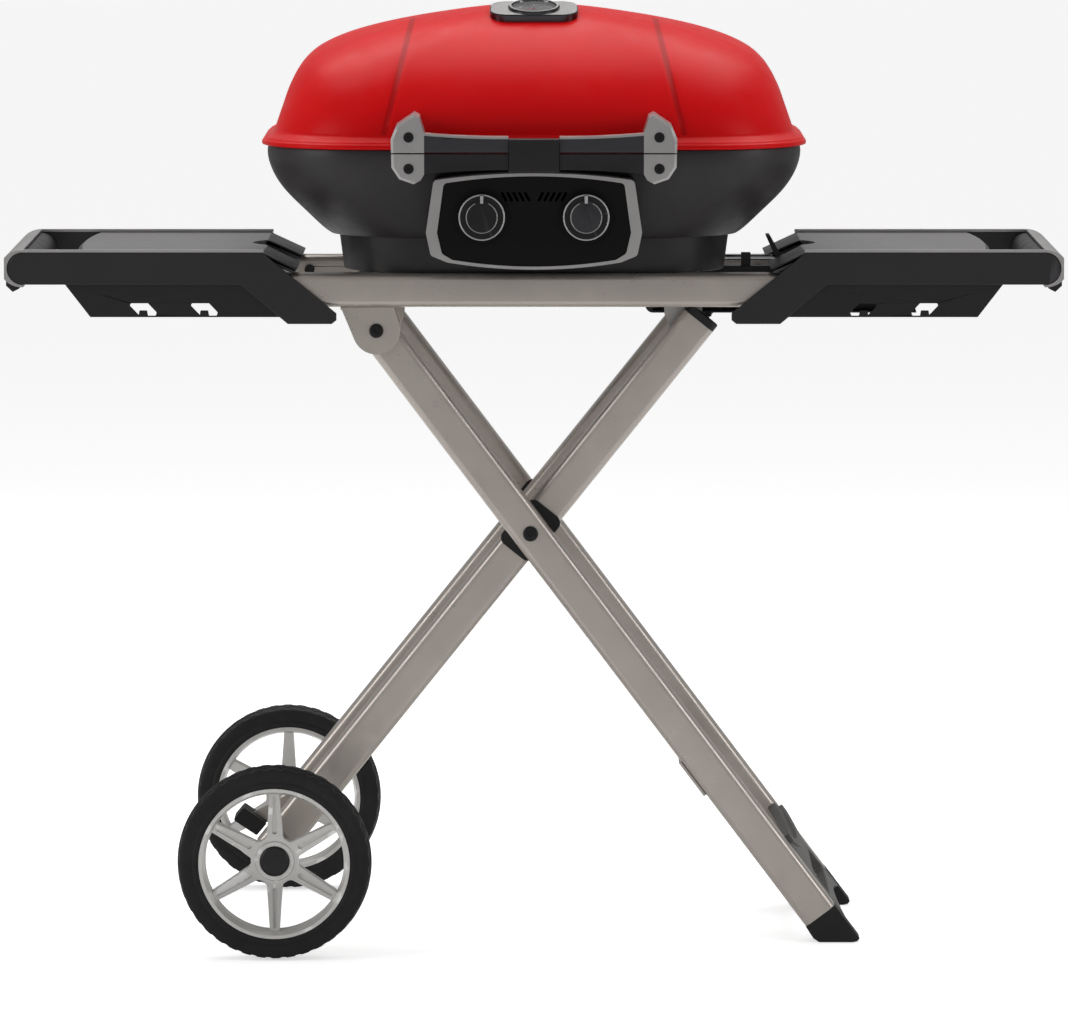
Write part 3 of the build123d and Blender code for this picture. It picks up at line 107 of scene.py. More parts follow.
class Graph:
    """A small helper that adds and links shader nodes of one material."""

    def __init__(self, material):
        self.material = material
        self.material.use_nodes = True
        self.tree = self.material.node_tree
        self.shader = self.tree.nodes["Principled BSDF"]

    def add(self, kind, **values):
        """A new node with its plain settings filled in."""
        node = self.tree.nodes.new(kind)
        for key, value in values.items():
            setattr(node, key, value)
        return node

    def link(self, source, target):
        """Join an output socket to an input socket."""
        self.tree.links.new(source, target)

    def noise(self, scale, detail=4.0, roughness=0.6, stretch=(1, 1, 1)):
        """A noise value in object space, stretched along some axes."""
        place = self.add("ShaderNodeTexCoord")
        mapping = self.add("ShaderNodeMapping")
        mapping.inputs["Scale"].default_value = stretch
        noise = self.add("ShaderNodeTexNoise")
        noise.inputs["Scale"].default_value = scale
        noise.inputs["Detail"].default_value = detail
        noise.inputs["Roughness"].default_value = roughness
        self.link(place.outputs["Object"], mapping.inputs["Vector"])
        self.link(mapping.outputs["Vector"], noise.inputs["Vector"])
        return noise.outputs["Fac"]

    def spread(self, value, low, high):
        """A value remapped from its middle range to low..high."""
        remap = self.add("ShaderNodeMapRange")
        remap.inputs["From Min"].default_value = NOISE_MIDDLE[0]
        remap.inputs["From Max"].default_value = NOISE_MIDDLE[1]
        remap.inputs["To Min"].default_value = low
        remap.inputs["To Max"].default_value = high
        self.link(value, remap.inputs["Value"])
        return remap.outputs["Result"]

    def blend(self, amount, first, second):
        """A mix of two colours; each may be a colour or a socket."""
        mix = self.add("ShaderNodeMix", data_type="RGBA")
        for socket, value in ((MIX_FIRST, first), (MIX_SECOND, second)):
            if isinstance(value, tuple):
                mix.inputs[socket].default_value = value
            else:
                self.link(value, mix.inputs[socket])
        self.link(amount, mix.inputs[MIX_AMOUNT])
        return mix.outputs[MIX_RESULT]

    def edge(self, start, end):
        """1 on sharp outer edges, 0 elsewhere."""
        geometry = self.add("ShaderNodeNewGeometry")
        remap = self.add("ShaderNodeMapRange")
        remap.inputs["From Min"].default_value = start
        remap.inputs["From Max"].default_value = end
        self.link(geometry.outputs["Pointiness"], remap.inputs["Value"])
        return remap.outputs["Result"]

    def bump(self, height, strength, distance):
        """Feed a height into the shader's normal."""
        bump = self.add("ShaderNodeBump")
        bump.inputs["Strength"].default_value = strength
        bump.inputs["Distance"].default_value = distance
        self.link(height, bump.inputs["Height"])
        self.link(bump.outputs["Normal"], self.shader.inputs["Normal"])


def new_graph(name):
    """The nodes of a new material."""
    return Graph(bpy.data.materials.new(name))


def rgb(red, green, blue):
    """A linear colour from 0..255 screen values."""
    channel = [((v / 255 + 0.055) / 1.055) ** 2.4 if v > 10 else v / 255 / 12.92 for v in (red, green, blue)]
    return (channel[0], channel[1], channel[2], 1.0)


def shade(colour, factor):
    """A colour made lighter or darker."""
    return (min(colour[0] * factor, 1.0), min(colour[1] * factor, 1.0), min(colour[2] * factor, 1.0), 1.0)


def finish(name, colour, roughness, metallic=0.0, vary=0.12, grain=900.0, relief=0.1, relief_mm=0.05,
           worn=None, stretch=(1, 1, 1), rough_vary=0.08, gloss=0.4):
    """A finish with patchy colour, uneven sheen, a fine relief and, when asked, lighter edges."""
    g = new_graph(name)
    patch = g.spread(g.noise(PATCH_SCALE, 5.0), 0.0, 1.0)
    base = g.blend(patch, shade(colour, 1 - vary), shade(colour, 1 + vary))
    if worn:
        base = g.blend(g.edge(*WORN_EDGE), base, worn)
    g.link(base, g.shader.inputs["Base Color"])
    fine = g.noise(grain, 3.0, 0.7, stretch)
    cloud = g.noise(SHEEN_SCALE, 5.0, 0.65, stretch)
    sheen = g.spread(cloud, roughness - rough_vary, roughness + rough_vary)
    g.link(sheen, g.shader.inputs["Roughness"])
    g.shader.inputs["Metallic"].default_value = metallic
    g.shader.inputs["Specular IOR Level"].default_value = gloss
    g.bump(fine, relief, relief_mm * MM)
    return g.material


def glass_finish():
    """Clear window glass with faint streaks in its sheen."""
    g = new_graph("window_glass")
    g.shader.inputs["Transmission Weight"].default_value = 1.0
    g.shader.inputs["IOR"].default_value = 1.46
    g.link(g.spread(g.noise(60.0), 0.01, 0.06), g.shader.inputs["Roughness"])
    g.shader.inputs["Base Color"].default_value = (0.95, 0.97, 0.97, 1)
    return g.material


FINISH = {
    "enamel_red": finish("enamel_red", rgb(214, 12, 16), 0.36, vary=0.04, relief=0.04, relief_mm=0.02,
                         gloss=0.10),
    "enamel_inside": finish("enamel_inside", rgb(52, 50, 51), 0.45, vary=0.15, grain=700.0),
    "bowl": finish("bowl", rgb(40, 37, 39), 0.46, vary=0.10, grain=1500.0, relief=0.45, relief_mm=0.12),
    "frame": finish("frame", rgb(186, 178, 171), 0.34, metallic=0.7, vary=0.05, grain=1600.0, relief=0.12,
                    relief_mm=0.04),
    "trim": finish("trim", rgb(176, 174, 173), 0.34, metallic=0.8, vary=0.04, grain=1400.0, relief=0.03,
                   relief_mm=0.02),
    "steel": finish("steel", rgb(172, 170, 168), 0.34, metallic=1.0, vary=0.08, stretch=(1, 14, 1)),
    "zinc": finish("zinc", rgb(120, 119, 118), 0.38, metallic=0.9, vary=0.12),
    "black_bolt": finish("black_bolt", rgb(24, 24, 26), 0.36, metallic=0.4, vary=0.15, worn=rgb(70, 70, 72)),
    "chrome": finish("chrome", rgb(205, 205, 208), 0.10, metallic=1.0, vary=0.03, relief=0.02,
                     rough_vary=0.04),
    "dark_chrome": finish("dark_chrome", rgb(70, 70, 74), 0.16, metallic=1.0, vary=0.06, relief=0.02,
                          rough_vary=0.05),
    "shelf": finish("shelf", rgb(33, 32, 34), 0.44, vary=0.08, grain=1700.0, relief=0.40, relief_mm=0.10,
                    worn=rgb(58, 57, 60)),
    "black": finish("black", rgb(20, 19, 21), 0.42, vary=0.10, grain=1600.0, relief=0.25, relief_mm=0.06),
    "panel": finish("panel", rgb(10, 10, 11), 0.36, vary=0.08, grain=1800.0, relief=0.10, relief_mm=0.03,
                    gloss=0.15),
    "grip": finish("grip", rgb(26, 25, 27), 0.38, vary=0.08, grain=1500.0, relief=0.20, relief_mm=0.05,
                   worn=rgb(52, 51, 54), gloss=0.25),
    "moulded_grey": finish("moulded_grey", rgb(84, 82, 80), 0.48, vary=0.10, relief=0.35, relief_mm=0.08),
    "tray": finish("tray", rgb(132, 130, 130), 0.34, metallic=0.7, vary=0.06, stretch=(1, 10, 1)),
    "rubber": finish("rubber", rgb(17, 16, 17), 0.62, vary=0.12, grain=1200.0, relief=0.35, relief_mm=0.10),
    "tread": finish("tread", rgb(16, 15, 16), 0.66, vary=0.16, grain=900.0, relief=0.50, relief_mm=0.15),
    "rim": finish("rim", rgb(205, 203, 200), 0.36, metallic=0.55, vary=0.04, worn=rgb(238, 237, 235)),
    "iron": finish("iron", rgb(34, 33, 34), 0.55, vary=0.18, grain=800.0, relief=0.60, relief_mm=0.20),
    "brass": finish("brass", rgb(190, 160, 90), 0.30, metallic=1.0, vary=0.10),
    "pale_mark": finish("pale_mark", rgb(170, 170, 172), 0.45, vary=0.06),
    "dial": finish("dial", rgb(84, 80, 80), 0.45, vary=0.05),
    "dial_mark": finish("dial_mark", rgb(222, 221, 218), 0.5, vary=0.03),
    "inlay": finish("inlay", rgb(150, 146, 142), 0.30, metallic=0.8, vary=0.05, grain=1200.0),
    "needle": finish("needle", rgb(190, 40, 30), 0.40, vary=0.05),
    "glass": glass_finish(),
}
# painted shade: the darker red drawn along the creases of the lid's front
CREASE_SHADE_RED = rgb(176, 8, 12)


def paint_crease_shade():
    """Draw a soft darker line of painted shade along the two creases of the lid's front."""
    g = Graph(FINISH["enamel_red"])
    paint = g.shader.inputs["Base Color"].links[0].from_socket
    place = g.add("ShaderNodeTexCoord")
    split = g.add("ShaderNodeSeparateXYZ")
    g.link(place.outputs["Object"], split.inputs[0])
    side = g.add("ShaderNodeMath", operation="ABSOLUTE")
    g.link(split.outputs["X"], side.inputs[0])
    lean = g.add("ShaderNodeMath", operation="MULTIPLY_ADD")
    lean.inputs[1].default_value = CREASE_LEAN
    g.link(split.outputs["Z"], lean.inputs[0])
    g.link(side.outputs[0], lean.inputs[2])
    away = g.add("ShaderNodeMath", operation="SUBTRACT")
    away.inputs[1].default_value = (crease_x(0.0) - LINE_INSET) * MM
    g.link(lean.outputs[0], away.inputs[0])
    distance = g.add("ShaderNodeMath", operation="ABSOLUTE")
    g.link(away.outputs[0], distance.inputs[0])
    line = g.add("ShaderNodeMapRange", interpolation_type="SMOOTHSTEP")
    line.inputs["From Min"].default_value = LINE_FADE * MM
    line.inputs["From Max"].default_value = LINE_CORE * MM
    g.link(distance.outputs[0], line.inputs["Value"])
    front = g.add("ShaderNodeMath", operation="LESS_THAN")
    front.inputs[1].default_value = LINE_FRONT_Y * MM
    g.link(split.outputs["Y"], front.inputs[0])
    above = g.add("ShaderNodeMath", operation="GREATER_THAN")
    above.inputs[1].default_value = CREASE_LOW_Z * MM
    g.link(split.outputs["Z"], above.inputs[0])
    both = g.add("ShaderNodeMath", operation="MULTIPLY")
    g.link(front.outputs[0], both.inputs[0])
    g.link(above.outputs[0], both.inputs[1])
    # where painted shade darkens the red along the creases
    crease_shade_mask = g.add("ShaderNodeMath", operation="MULTIPLY")
    g.link(line.outputs["Result"], crease_shade_mask.inputs[0])
    g.link(both.outputs[0], crease_shade_mask.inputs[1])
    g.link(g.blend(crease_shade_mask.outputs[0], paint, CREASE_SHADE_RED), g.shader.inputs["Base Color"])


NODE_FINISH = {
    "frame": ("front_rail", "rear_rail", "rail_crossmembers", "outer_leg_tubes", "outer_crossbar",
              "inner_leg_tubes", "inner_crossbar", "leg_brackets"),
    "trim": ("shelf_trims", "control_trim", "upper_handle_brackets", "lower_handle_brackets"),
    "steel": ("slide_carriages", "burners", "heat_plates", "drip_pan", "thermometer_bezel"),
    "zinc": ("gas_manifold", "hinge_brackets", "lid_hinge_arms", "wheel_axle", "slide_pins",
             "left_valve_stem", "right_valve_stem"),
    "black_bolt": ("pivot_pins", "crossing_bolts", "upper_handle_bolts", "frame_screws"),
    "shelf": ("left_shelf_frame", "right_shelf_frame"),
    "black": ("slide_tracks", "shelf_tool_hooks", "pedestal", "control_housing", "inner_leg_caps",
              "front_hub_cap", "rear_hub_cap"),
    "panel": ("control_face",),
    "grip": ("upper_handle", "lower_handle", "lid_latch", "left_knob", "right_knob"),
    "moulded_grey": ("transport_handle", "regulator"),
    "tray": ("shelf_trays",),
    "rubber": ("foot_caps", "inner_leg_pads", "front_tyre", "rear_tyre"),
    "rim": ("front_rim", "rear_rim"),
    "iron": ("cooking_grids",),
    "brass": ("gas_valves",),
    "bowl": ("firebox",),
    "enamel_red": ("lid_shell",),
    "chrome": ("release_rod",),
    "dial": ("thermometer_dial",),
    "needle": ("thermometer_needle",),
    "glass": ("thermometer_glass",),
}
# how far each node's edges are rounded, in mm; 0 keeps them crisp
EDGE_MM = {
    "left_shelf_frame": 1.2, "right_shelf_frame": 1.2, "shelf_trays": 0.6, "shelf_trims": 0.6,
    "upper_handle": 0.8, "upper_handle_brackets": 0, "lower_handle": 1.2, "lower_handle_brackets": 0,
    "lid_latch": 0.6, "thermometer_needle": 0.1, "thermometer_glass": 0.2,
    "pedestal": 1.2, "control_housing": 1.0, "control_trim": 0, "left_knob": 0.6, "right_knob": 0.6,
    "cooking_grids": 0.8, "transport_handle": 1.2, "foot_caps": 1.2, "front_rim": 0.9, "rear_rim": 0.9,
}
DEFAULT_EDGE_MM = 0.4
WELD_MM = 0.01
# nodes whose large flat faces stay evenly shaded up to their rounded edges
FLAT_FACED = ("left_knob", "right_knob", "control_face", "upper_handle_brackets", "lower_handle_brackets",
              "left_shelf_frame", "right_shelf_frame", "shelf_tool_hooks", "leg_brackets", "release_rod")


def soften(piece, width_mm, angle=32, even=False):
    """Shade a piece smoothly and round its sharp edges a little, or keep them crisp at a width of 0."""
    for polygon in piece.data.polygons:
        polygon.use_smooth = True
    weld = piece.modifiers.new("join_corners", "WELD")
    weld.merge_threshold = WELD_MM * MM
    if not width_mm:
        split = piece.modifiers.new("crisp_edges", "EDGE_SPLIT")
        split.split_angle = math.radians(angle)
        return
    bevel = piece.modifiers.new("soft_edges", "BEVEL")
    bevel.width = width_mm * MM
    bevel.segments = 2
    bevel.limit_method = "ANGLE"
    bevel.angle_limit = math.radians(angle)
    bevel.harden_normals = True
    if even:
        weighted = piece.modifiers.new("even_shading", "WEIGHTED_NORMAL")
        weighted.mode = "FACE_AREA"
        weighted.weight = 70


def dress_cad_nodes():
    """Give every CAD node its finish and its edges."""
    for name, members in NODE_FINISH.items():
        for node in members:
            piece = NODES[node]
            piece.data.materials.clear()
            piece.data.materials.append(FINISH[name])
            if "custom_normal" in piece.data.attributes:
                piece.data.attributes.remove(piece.data.attributes["custom_normal"])
            soften(piece, EDGE_MM.get(node, DEFAULT_EDGE_MM), even=node in FLAT_FACED)


def second_finish(node, finish_name, wanted):
    """Give the faces of a CAD node that pass a test (centre in mm, normal) another finish."""
    piece = NODES[node]
    piece.data.materials.append(FINISH[finish_name])
    slot = len(piece.data.materials) - 1
    for polygon in piece.data.polygons:
        if wanted(polygon.center / MM, polygon.normal):
            polygon.material_index = slot


def dress_parts_of_nodes():
    """Finishes that cover only a part of a node."""
    second_finish("shelf_trays", "black", lambda centre, normal: abs(centre.x) < SLOPE_TOP_X)
    second_finish("release_rod", "black", lambda centre, normal:
                  math.hypot(centre.y - ROD_Y, centre.z - ROD_Z) > ROD_R + TOUCH)
    second_finish("rail_crossmembers", "black", lambda centre, normal:
                  abs(centre.y) < GUIDE_HALF_Y and centre.z > GUIDE_LOW_Z)
    second_finish("thermometer_bezel", "dark_chrome", lambda centre, normal:
                  normal.dot(DIAL_AXIS) < FACES_UP)


# ---------------------------------------------------------------- mesh helpers
def new_piece(name, body, verts, faces, *finishes, slots=None):
    """A mesh piece from points in mm, riding on a body."""
    mesh = bpy.data.meshes.new(name)
    mesh.from_pydata([Vector(v) * MM for v in verts], [], faces)
    for item in finishes:
        mesh.materials.append(FINISH[item])
    for index, polygon in enumerate(mesh.polygons):
        polygon.use_smooth = True
        if slots:
            polygon.material_index = slots[index]
    piece = bpy.data.objects.new(name, mesh)
    bpy.context.scene.collection.objects.link(piece)
    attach(piece, body)
    return piece


def ring_faces(rings, count):
    """Faces between rings of points that all have the same count; the last ring joins the first."""
    faces = []
    for r in range(rings):
        for i in range(count):
            j = (i + 1) % count
            a, b = r * count, ((r + 1) % rings) * count
            faces.append((a + i, a + j, b + j, b + i))
    return faces


def lathe_y(name, body, profile, finish_name, centre, count, change):
    """A closed profile of (radius, y) turned about an axis along Y through centre (x, z).

    change(radius, y, step) is added to the radius of each point.
    """
    verts = []
    for radius, y in profile:
        for i in range(count):
            angle = 2 * math.pi * i / count
            r = radius + change(radius, y, i)
            verts.append((centre[0] + r * math.cos(angle), y, centre[1] + r * math.sin(angle)))
    return new_piece(name, body, verts, ring_faces(len(profile), count), finish_name)


def smooth_curve(points, x):
    """A value read from a smooth curve through (x, value) points."""
    last = len(points) - 2
    k = max(0, min(last, sum(1 for p in points[1:-1] if p[0] <= x)))
    (x0, y0), (x1, y1) = points[k], points[k + 1]
    slope = (y1 - y0) / (x1 - x0)
    before = (y0 - points[k - 1][1]) / (x0 - points[k - 1][0]) if k > 0 else slope
    after = (points[k + 2][1] - y1) / (points[k + 2][0] - x1) if k < last else slope
    m0 = (before + slope) / 2
    m1 = (after + slope) / 2
    t = (x - x0) / (x1 - x0)
    h = x1 - x0
    return ((2 * t ** 3 - 3 * t ** 2 + 1) * y0 + (t ** 3 - 2 * t ** 2 + t) * h * m0
            + (3 * t ** 2 - 2 * t ** 3) * y1 + (t ** 3 - t ** 2) * h * m1)


# ---------------------------------------------------------------- lid
ARC_STEPS = 96
LONG_STEPS = 110
SHORT_STEPS = 10
DOME_RINGS = 56
DOME_TOP_Z = 987.3
DOME_CORNER = 112.0
RING_CROWDING = 1.15       # above 1 the rings stand closer near the base
CORNER_SHARE_X = 0.84      # a corner's radius stays below these shares of the half sizes
CORNER_SHARE_Y = 0.88
# half sizes along X and Y, corner radius and height of each ring of the beaded lip
LIP_RINGS = (
    (271, 189, 109, 846.0), (271.4, 189.4, 109, 843.6), (284.4, 202.4, 112, 843.3),
    (286.0, 204.0, 113, 843.9), (286.5, 204.5, 113, 845.2), (286.4, 204.4, 113, 847.4),
    (285.2, 203.2, 113, 848.6), (283.8, 201.8, 112, 849.2), (283.4, 201.4, 112, 850.2),
    (282.4, 200.4, 112, 851.2), (279.6, 197.6, 112, 852.6), (276.4, 194.4, 112, 854.8),
)
RING_POINTS = 4 * ARC_STEPS + 2 * LONG_STEPS + 2 * SHORT_STEPS


def plan_ring(half_x, front_y, back_y, corner, z):
    """A rounded rectangle of points at one height, with close steps round its corners."""
    points = []
    half_y = (back_y - front_y) / 2
    mid_y = (back_y + front_y) / 2
    corner = min(corner, half_y * CORNER_SHARE_Y, half_x * CORNER_SHARE_X)
    centres = ((1, 1, 0), (-1, 1, 90), (-1, -1, 180), (1, -1, 270))
    for sx, sy, start in centres:
        cx, cy = sx * (half_x - corner), mid_y + sy * (half_y - corner)
        side_steps = LONG_STEPS if sx == sy else SHORT_STEPS
        for i in range(ARC_STEPS):
            a = math.radians(start + 90 * i / ARC_STEPS)
            points.append((cx + corner * math.cos(a), cy + corner * math.sin(a), z))
        a = math.radians(start + 90)
        from_x, from_y = cx + corner * math.cos(a), cy + corner * math.sin(a)
        next_sx, next_sy, next_start = centres[(centres.index((sx, sy, start)) + 1) % 4]
        to_x = next_sx * (half_x - corner) + corner * math.cos(math.radians(next_start))
        to_y = mid_y + next_sy * (half_y - corner) + corner * math.sin(math.radians(next_start))
        for i in range(side_steps):
            t = i / side_steps
            points.append((from_x + (to_x - from_x) * t, from_y + (to_y - from_y) * t, z))
    return points


def lid_reach(z, reach, power):
    """How far the lid reaches from its crest at a height."""
    height = min((z - LID_BASE_Z) / LID_RISE, 1.0)
    return reach * (1 - height ** power) ** (1 / power)


def crease(x, y, z):
    """The raised centre band on the lid's front: its height at a point, in mm."""
    if y > 0:
        return 0.0
    edge = crease_x(z)
    t = max(0.0, min(1.0, (edge - abs(x)) / CREASE_WIDTH))
    low = max(0.0, min(1.0, (z - CREASE_LOW_Z) / CREASE_FADE))
    dip = CREASE_DIP * math.exp(-((edge - abs(x)) / CREASE_WIDTH) ** 2)
    return (CREASE_HEIGHT * t * t * (3 - 2 * t) - dip) * low


def dome_ring(z, inset=0.0):
    """One ring of the dome at a height: outside, or inside when it is inset."""
    front = LID_CREST_Y - lid_reach(z, *LID_FRONT) + inset
    back = LID_CREST_Y + lid_reach(z, *LID_BACK) - inset
    half_x = smooth_curve(LID_HALF_WIDTHS, z) - inset
    points = plan_ring(half_x, front, back, DOME_CORNER - inset, z - inset)
    if inset:
        return points
    return [(x, y - crease(x, y, z), zz) for x, y, zz in points]


def build_lid():
    """The domed lid: smooth outside, beaded lip and dark inside, as one closed shell."""
    heights = []
    for i in range(DOME_RINGS + 1):
        turn = math.pi / 2 * i / DOME_RINGS
        heights.append(LID_BASE_Z + (DOME_TOP_Z - LID_BASE_Z) * math.sin(turn) ** RING_CROWDING)
    rings = [plan_ring(hx, -hy, hy, corner, z) for hx, hy, corner, z in LIP_RINGS]
    rings += [dome_ring(z) for z in heights]
    outside = len(rings)
    rings += [dome_ring(z, SHELL) for z in reversed(heights)]
    count = RING_POINTS
    verts = [p for ring in rings for p in ring]
    faces = []
    slots = []
    for r in range(len(rings)):
        after = (r + 1) % len(rings)
        if r == outside - 1:
            continue
        for i in range(count):
            j = (i + 1) % count
            faces.append((r * count + i, r * count + j, after * count + j, after * count + i))
            slots.append(0 if 0 < r < outside - 1 else 1)
    faces.append(tuple((outside - 1) * count + i for i in range(count)))
    slots.append(0)
    faces.append(tuple(outside * count + i for i in reversed(range(count))))
    slots.append(1)
    lid = new_piece("lid_dome", "lid", verts, faces, "enamel_red", "enamel_inside", slots=slots)
    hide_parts("lid_shell")


# ---------------------------------------------------------------- wheels
TREAD_STEPS = 240
TREAD_BAND = 2.6           # points this close to the outer radius belong to the tread
CENTRE_RIB = 5.0           # half width of the plain rib in the middle
NOTCH_DEPTH = 1.3
NOTCH_PITCH = 6            # steps from one notch to the next
NOTCH_STEPS = 2
# (radius, depth from the tyre's face) from the bead to the middle of the tread
HALF_TYRE = (
    (RIM_R, 2.0), (RIM_R + 1.6, 0.7), (RIM_R + 3.6, 0.1), (RIM_R + 6.0, 0.5), (RIM_R + 7.0, 1.1),
    (RIM_R + 8.2, 0.6), (WHEEL_R - 8.2, 0.0), (WHEEL_R - 5.0, 0.1), (WHEEL_R - 3.0, 0.9),
    (WHEEL_R - 2.2, 2.0), (WHEEL_R - 1.4, 5.0), (WHEEL_R - 0.7, 9.5), (WHEEL_R - 1.9, 10.6),
    (WHEEL_R - 1.9, 12.4), (WHEEL_R - 0.3, 13.6), (WHEEL_R, 19.0),
)


def tread_cut(radius, y, step):
    """How much a tread point is sunk: shallow notches round both shoulders, staggered."""
    from_middle = abs(y) - (WHEEL_FACE_Y - TYRE_WIDTH / 2)
    if radius < WHEEL_R - TREAD_BAND or abs(from_middle) < CENTRE_RIB:
        return 0.0
    stagger = NOTCH_PITCH // 2 if from_middle > 0 else 0
    return -NOTCH_DEPTH if (step + stagger) % NOTCH_PITCH < NOTCH_STEPS else 0.0


def build_tyre(name, body, side, node):
    """A rubber tyre with ribbed sidewalls, a centre rib and notched shoulders."""
    near, far = WHEEL_FACE_Y - TYRE_WIDTH, WHEEL_FACE_Y
    profile = [(r, near + d) for r, d in HALF_TYRE] + [(r, far - d) for r, d in reversed(HALF_TYRE)]
    profile = [(r, side * y) for r, y in profile]
    tyre = lathe_y(name, body, profile, "tread", AXLE, TREAD_STEPS, tread_cut)
    soften(tyre, 0.25, 40)
    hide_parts(node)


# ---------------------------------------------------------------- small visible details
def arc_strip(name, body, centre, radius, start, end, width, height, y, finish_name, count=48):
    """A thin raised strip along an arc on a face that looks towards the user."""
    verts = []
    for i in range(count + 1):
        a = math.radians(start + (end - start) * i / count)
        for r, depth in ((radius - width / 2, 0.0), (radius - width / 4, height),
                         (radius + width / 4, height), (radius + width / 2, 0.0)):
            verts.append((centre[0] + r * math.sin(a), y - depth, centre[1] + r * math.cos(a)))
    faces = []
    for i in range(count):
        for k in range(3):
            a = i * 4 + k
            faces.append((a, a + 1, a + 5, a + 4))
    return new_piece(name, body, verts, faces, finish_name)


RIM_RING_R = 23.2
RIM_RING_BACK = 1.4        # the rim ring lies this far behind the knob's face
INNER_RING_R = 16.0
RING_GAP = 25              # degrees left open on each side of the pointer
STRIP_HEIGHT = 0.25
POINTER_OUTLINE = ((-1.5, 14.6), (1.5, 14.6), (1.7, 22.4), (-1.7, 22.4))
POINTER_DEPTHS = (-0.1, 0.4)


def build_knob_details(side, name, body):
    """The bright rim, inner ring and pale pointer of one knob."""
    centre = (side * KNOB_X, KNOB_Z)
    x, z = centre
    ring = arc_strip(f"{name}_rim_ring", body, centre, RIM_RING_R, 0, 360, 1.3, STRIP_HEIGHT,
                     KNOB_FRONT_Y + RIM_RING_BACK, "trim", 96)
    inner = arc_strip(f"{name}_inner_ring", body, centre, INNER_RING_R, RING_GAP, 360 - RING_GAP, 0.9,
                      STRIP_HEIGHT, KNOB_FRONT_Y, "inlay", 72)
    verts = [(x + dx, KNOB_FRONT_Y + dy, z + dz) for dy in POINTER_DEPTHS for dx, dz in POINTER_OUTLINE]
    faces = [(0, 1, 2, 3), (7, 6, 5, 4), (0, 4, 5, 1), (1, 5, 6, 2), (2, 6, 7, 3), (3, 7, 4, 0)]
    pointer = new_piece(f"{name}_pointer", body, verts, faces, "pale_mark")
    soften(pointer, 0.08)


TICKS = 21
TICK_STEP = 12             # degrees from one tick to the next
LONG_TICK_EVERY = 5
LONG_TICK = (15.5, 0.55)   # inner radius and half width
SHORT_TICK = (18.0, 0.32)
TICK_OUTER_R = 21.5


def build_dial_marks():
    """Tick marks round the thermometer dial; there is no lettering."""
    verts = []
    faces = []
    for i in range(TICKS):
        a = math.radians((i - TICKS // 2) * TICK_STEP)
        inner_r, w = LONG_TICK if i % LONG_TICK_EVERY == 0 else SHORT_TICK
        base = len(verts)
        for r, s in ((inner_r, -w), (inner_r, w), (TICK_OUTER_R, w), (TICK_OUTER_R, -w)):
            lx = r * math.sin(a) + s * math.cos(a)
            ly = r * math.cos(a) - s * math.sin(a)
            verts.append((lx, DIAL_Y + ly * math.cos(DIAL_TILT) - DIAL_MARK_UP * math.sin(DIAL_TILT),
                          DIAL_Z + ly * math.sin(DIAL_TILT) + DIAL_MARK_UP * math.cos(DIAL_TILT)))
        faces.append((base, base + 1, base + 2, base + 3))
    ticks = new_piece("dial_ticks", "lid", verts, faces, "dial_mark")


def build_details():
    """All the small pieces that the CAD leaves to the looks."""
    build_lid()
    build_tyre("front_tyre_tread", "front_wheel", -1, "front_tyre")
    build_tyre("rear_tyre_tread", "rear_wheel", 1, "rear_tyre")
    build_knob_details(-1, "left_knob", "left_control_knob")
    build_knob_details(1, "right_knob", "right_control_knob")
    build_dial_marks()


# ---------------------------------------------------------------- studio and camera
FLOOR_GLOW = 0.6
MIRRORED_GLOW = 0.15       # share of that glow seen in glossy surfaces
FLOOR_HALF = 60.0          # in metres, like the rest of this section
FLOOR_DROP = 0.0006
WORLD_GLOW = 0.34
CAMERA_PLACE = (0.0, -7.988, 1.3081)
CAMERA_TILT = math.radians(83.843)


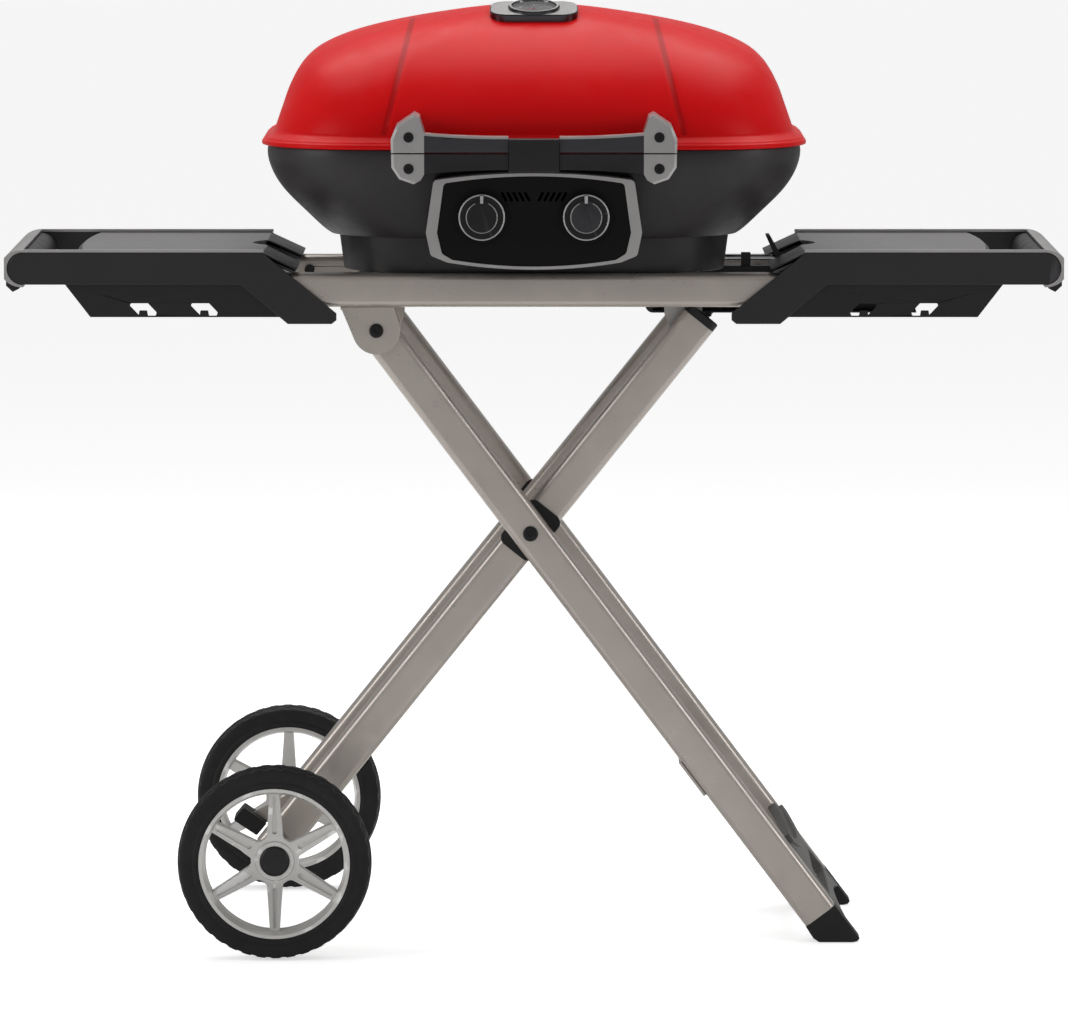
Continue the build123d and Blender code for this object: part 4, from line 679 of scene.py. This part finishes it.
def pale_floor():
    """A wide flat pale floor; its added glow shows to the camera and, faintly, in glossy surfaces."""
    mesh = bpy.data.meshes.new("floor")
    corners = [(-FLOOR_HALF, -FLOOR_HALF, 0), (FLOOR_HALF, -FLOOR_HALF, 0),
               (FLOOR_HALF, FLOOR_HALF, 0), (-FLOOR_HALF, FLOOR_HALF, 0)]
    mesh.from_pydata(corners, [], [(0, 1, 2, 3)])
    floor = bpy.data.objects.new("floor", mesh)
    floor.location.z = -FLOOR_DROP
    bpy.context.scene.collection.objects.link(floor)
    g = new_graph("floor_paint")
    g.shader.inputs["Base Color"].default_value = (0.93, 0.93, 0.93, 1)
    g.shader.inputs["Roughness"].default_value = 0.8
    g.shader.inputs["Specular IOR Level"].default_value = 0.1
    g.shader.inputs["Emission Color"].default_value = (1, 1, 1, 1)
    seen = g.add("ShaderNodeLightPath")
    mirrored = g.add("ShaderNodeMath", operation="MULTIPLY")
    mirrored.inputs[1].default_value = MIRRORED_GLOW
    g.link(seen.outputs["Is Glossy Ray"], mirrored.inputs[0])
    either = g.add("ShaderNodeMath", operation="MAXIMUM")
    g.link(seen.outputs["Is Camera Ray"], either.inputs[0])
    g.link(mirrored.outputs[0], either.inputs[1])
    glow = g.add("ShaderNodeMath", operation="MULTIPLY")
    glow.inputs[1].default_value = FLOOR_GLOW
    g.link(either.outputs[0], glow.inputs[0])
    g.link(glow.outputs[0], g.shader.inputs["Emission Strength"])
    mesh.materials.append(g.material)


def soft_light(name, place, target, size, power):
    """One rectangular soft light aimed at a point."""
    data = bpy.data.lights.new(name, "AREA")
    data.shape = "RECTANGLE"
    data.size, data.size_y = size
    data.energy = power
    light = bpy.data.objects.new(name, data)
    light.location = place
    aim = Vector(target) - Vector(place)
    light.rotation_mode = "QUATERNION"
    light.rotation_quaternion = aim.to_track_quat("-Z", "Y")
    bpy.context.scene.collection.objects.link(light)


def studio():
    """The pale surroundings, the floor and three soft lights."""
    world = bpy.data.worlds.new("studio")
    bpy.context.scene.world = world
    world.use_nodes = True
    background = world.node_tree.nodes["Background"]
    background.inputs["Color"].default_value = (1, 1, 1, 1)
    background.inputs["Strength"].default_value = WORLD_GLOW
    pale_floor()
    soft_light("overhead", (0.0, 0.9, 3.0), (0, 0, 0.6), (3.2, 2.0), 62)
    soft_light("left_side", (-3.0, -1.5, 1.5), (0, 0, 0.6), (1.4, 2.2), 30)
    soft_light("right_side", (3.0, -1.4, 1.5), (0, 0, 0.6), (1.2, 2.2), 24)
    bpy.context.scene.view_settings.view_transform = "Standard"


def photo_camera():
    """The camera that matches the photograph's view."""
    data = bpy.data.cameras.new("camera")
    data.sensor_width = 36.0
    data.lens = 252.8
    data.clip_end = 60.0
    camera = bpy.data.objects.new("camera", data)
    camera.location = CAMERA_PLACE
    camera.rotation_euler = (CAMERA_TILT, 0.0, 0.0)
    bpy.context.scene.collection.objects.link(camera)
    bpy.context.scene.camera = camera


def write_size():
    """Bring the scene's view layer up to date."""
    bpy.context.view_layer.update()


paint_crease_shade()
dress_cad_nodes()
dress_parts_of_nodes()
build_details()
studio()
photo_camera()
write_size()
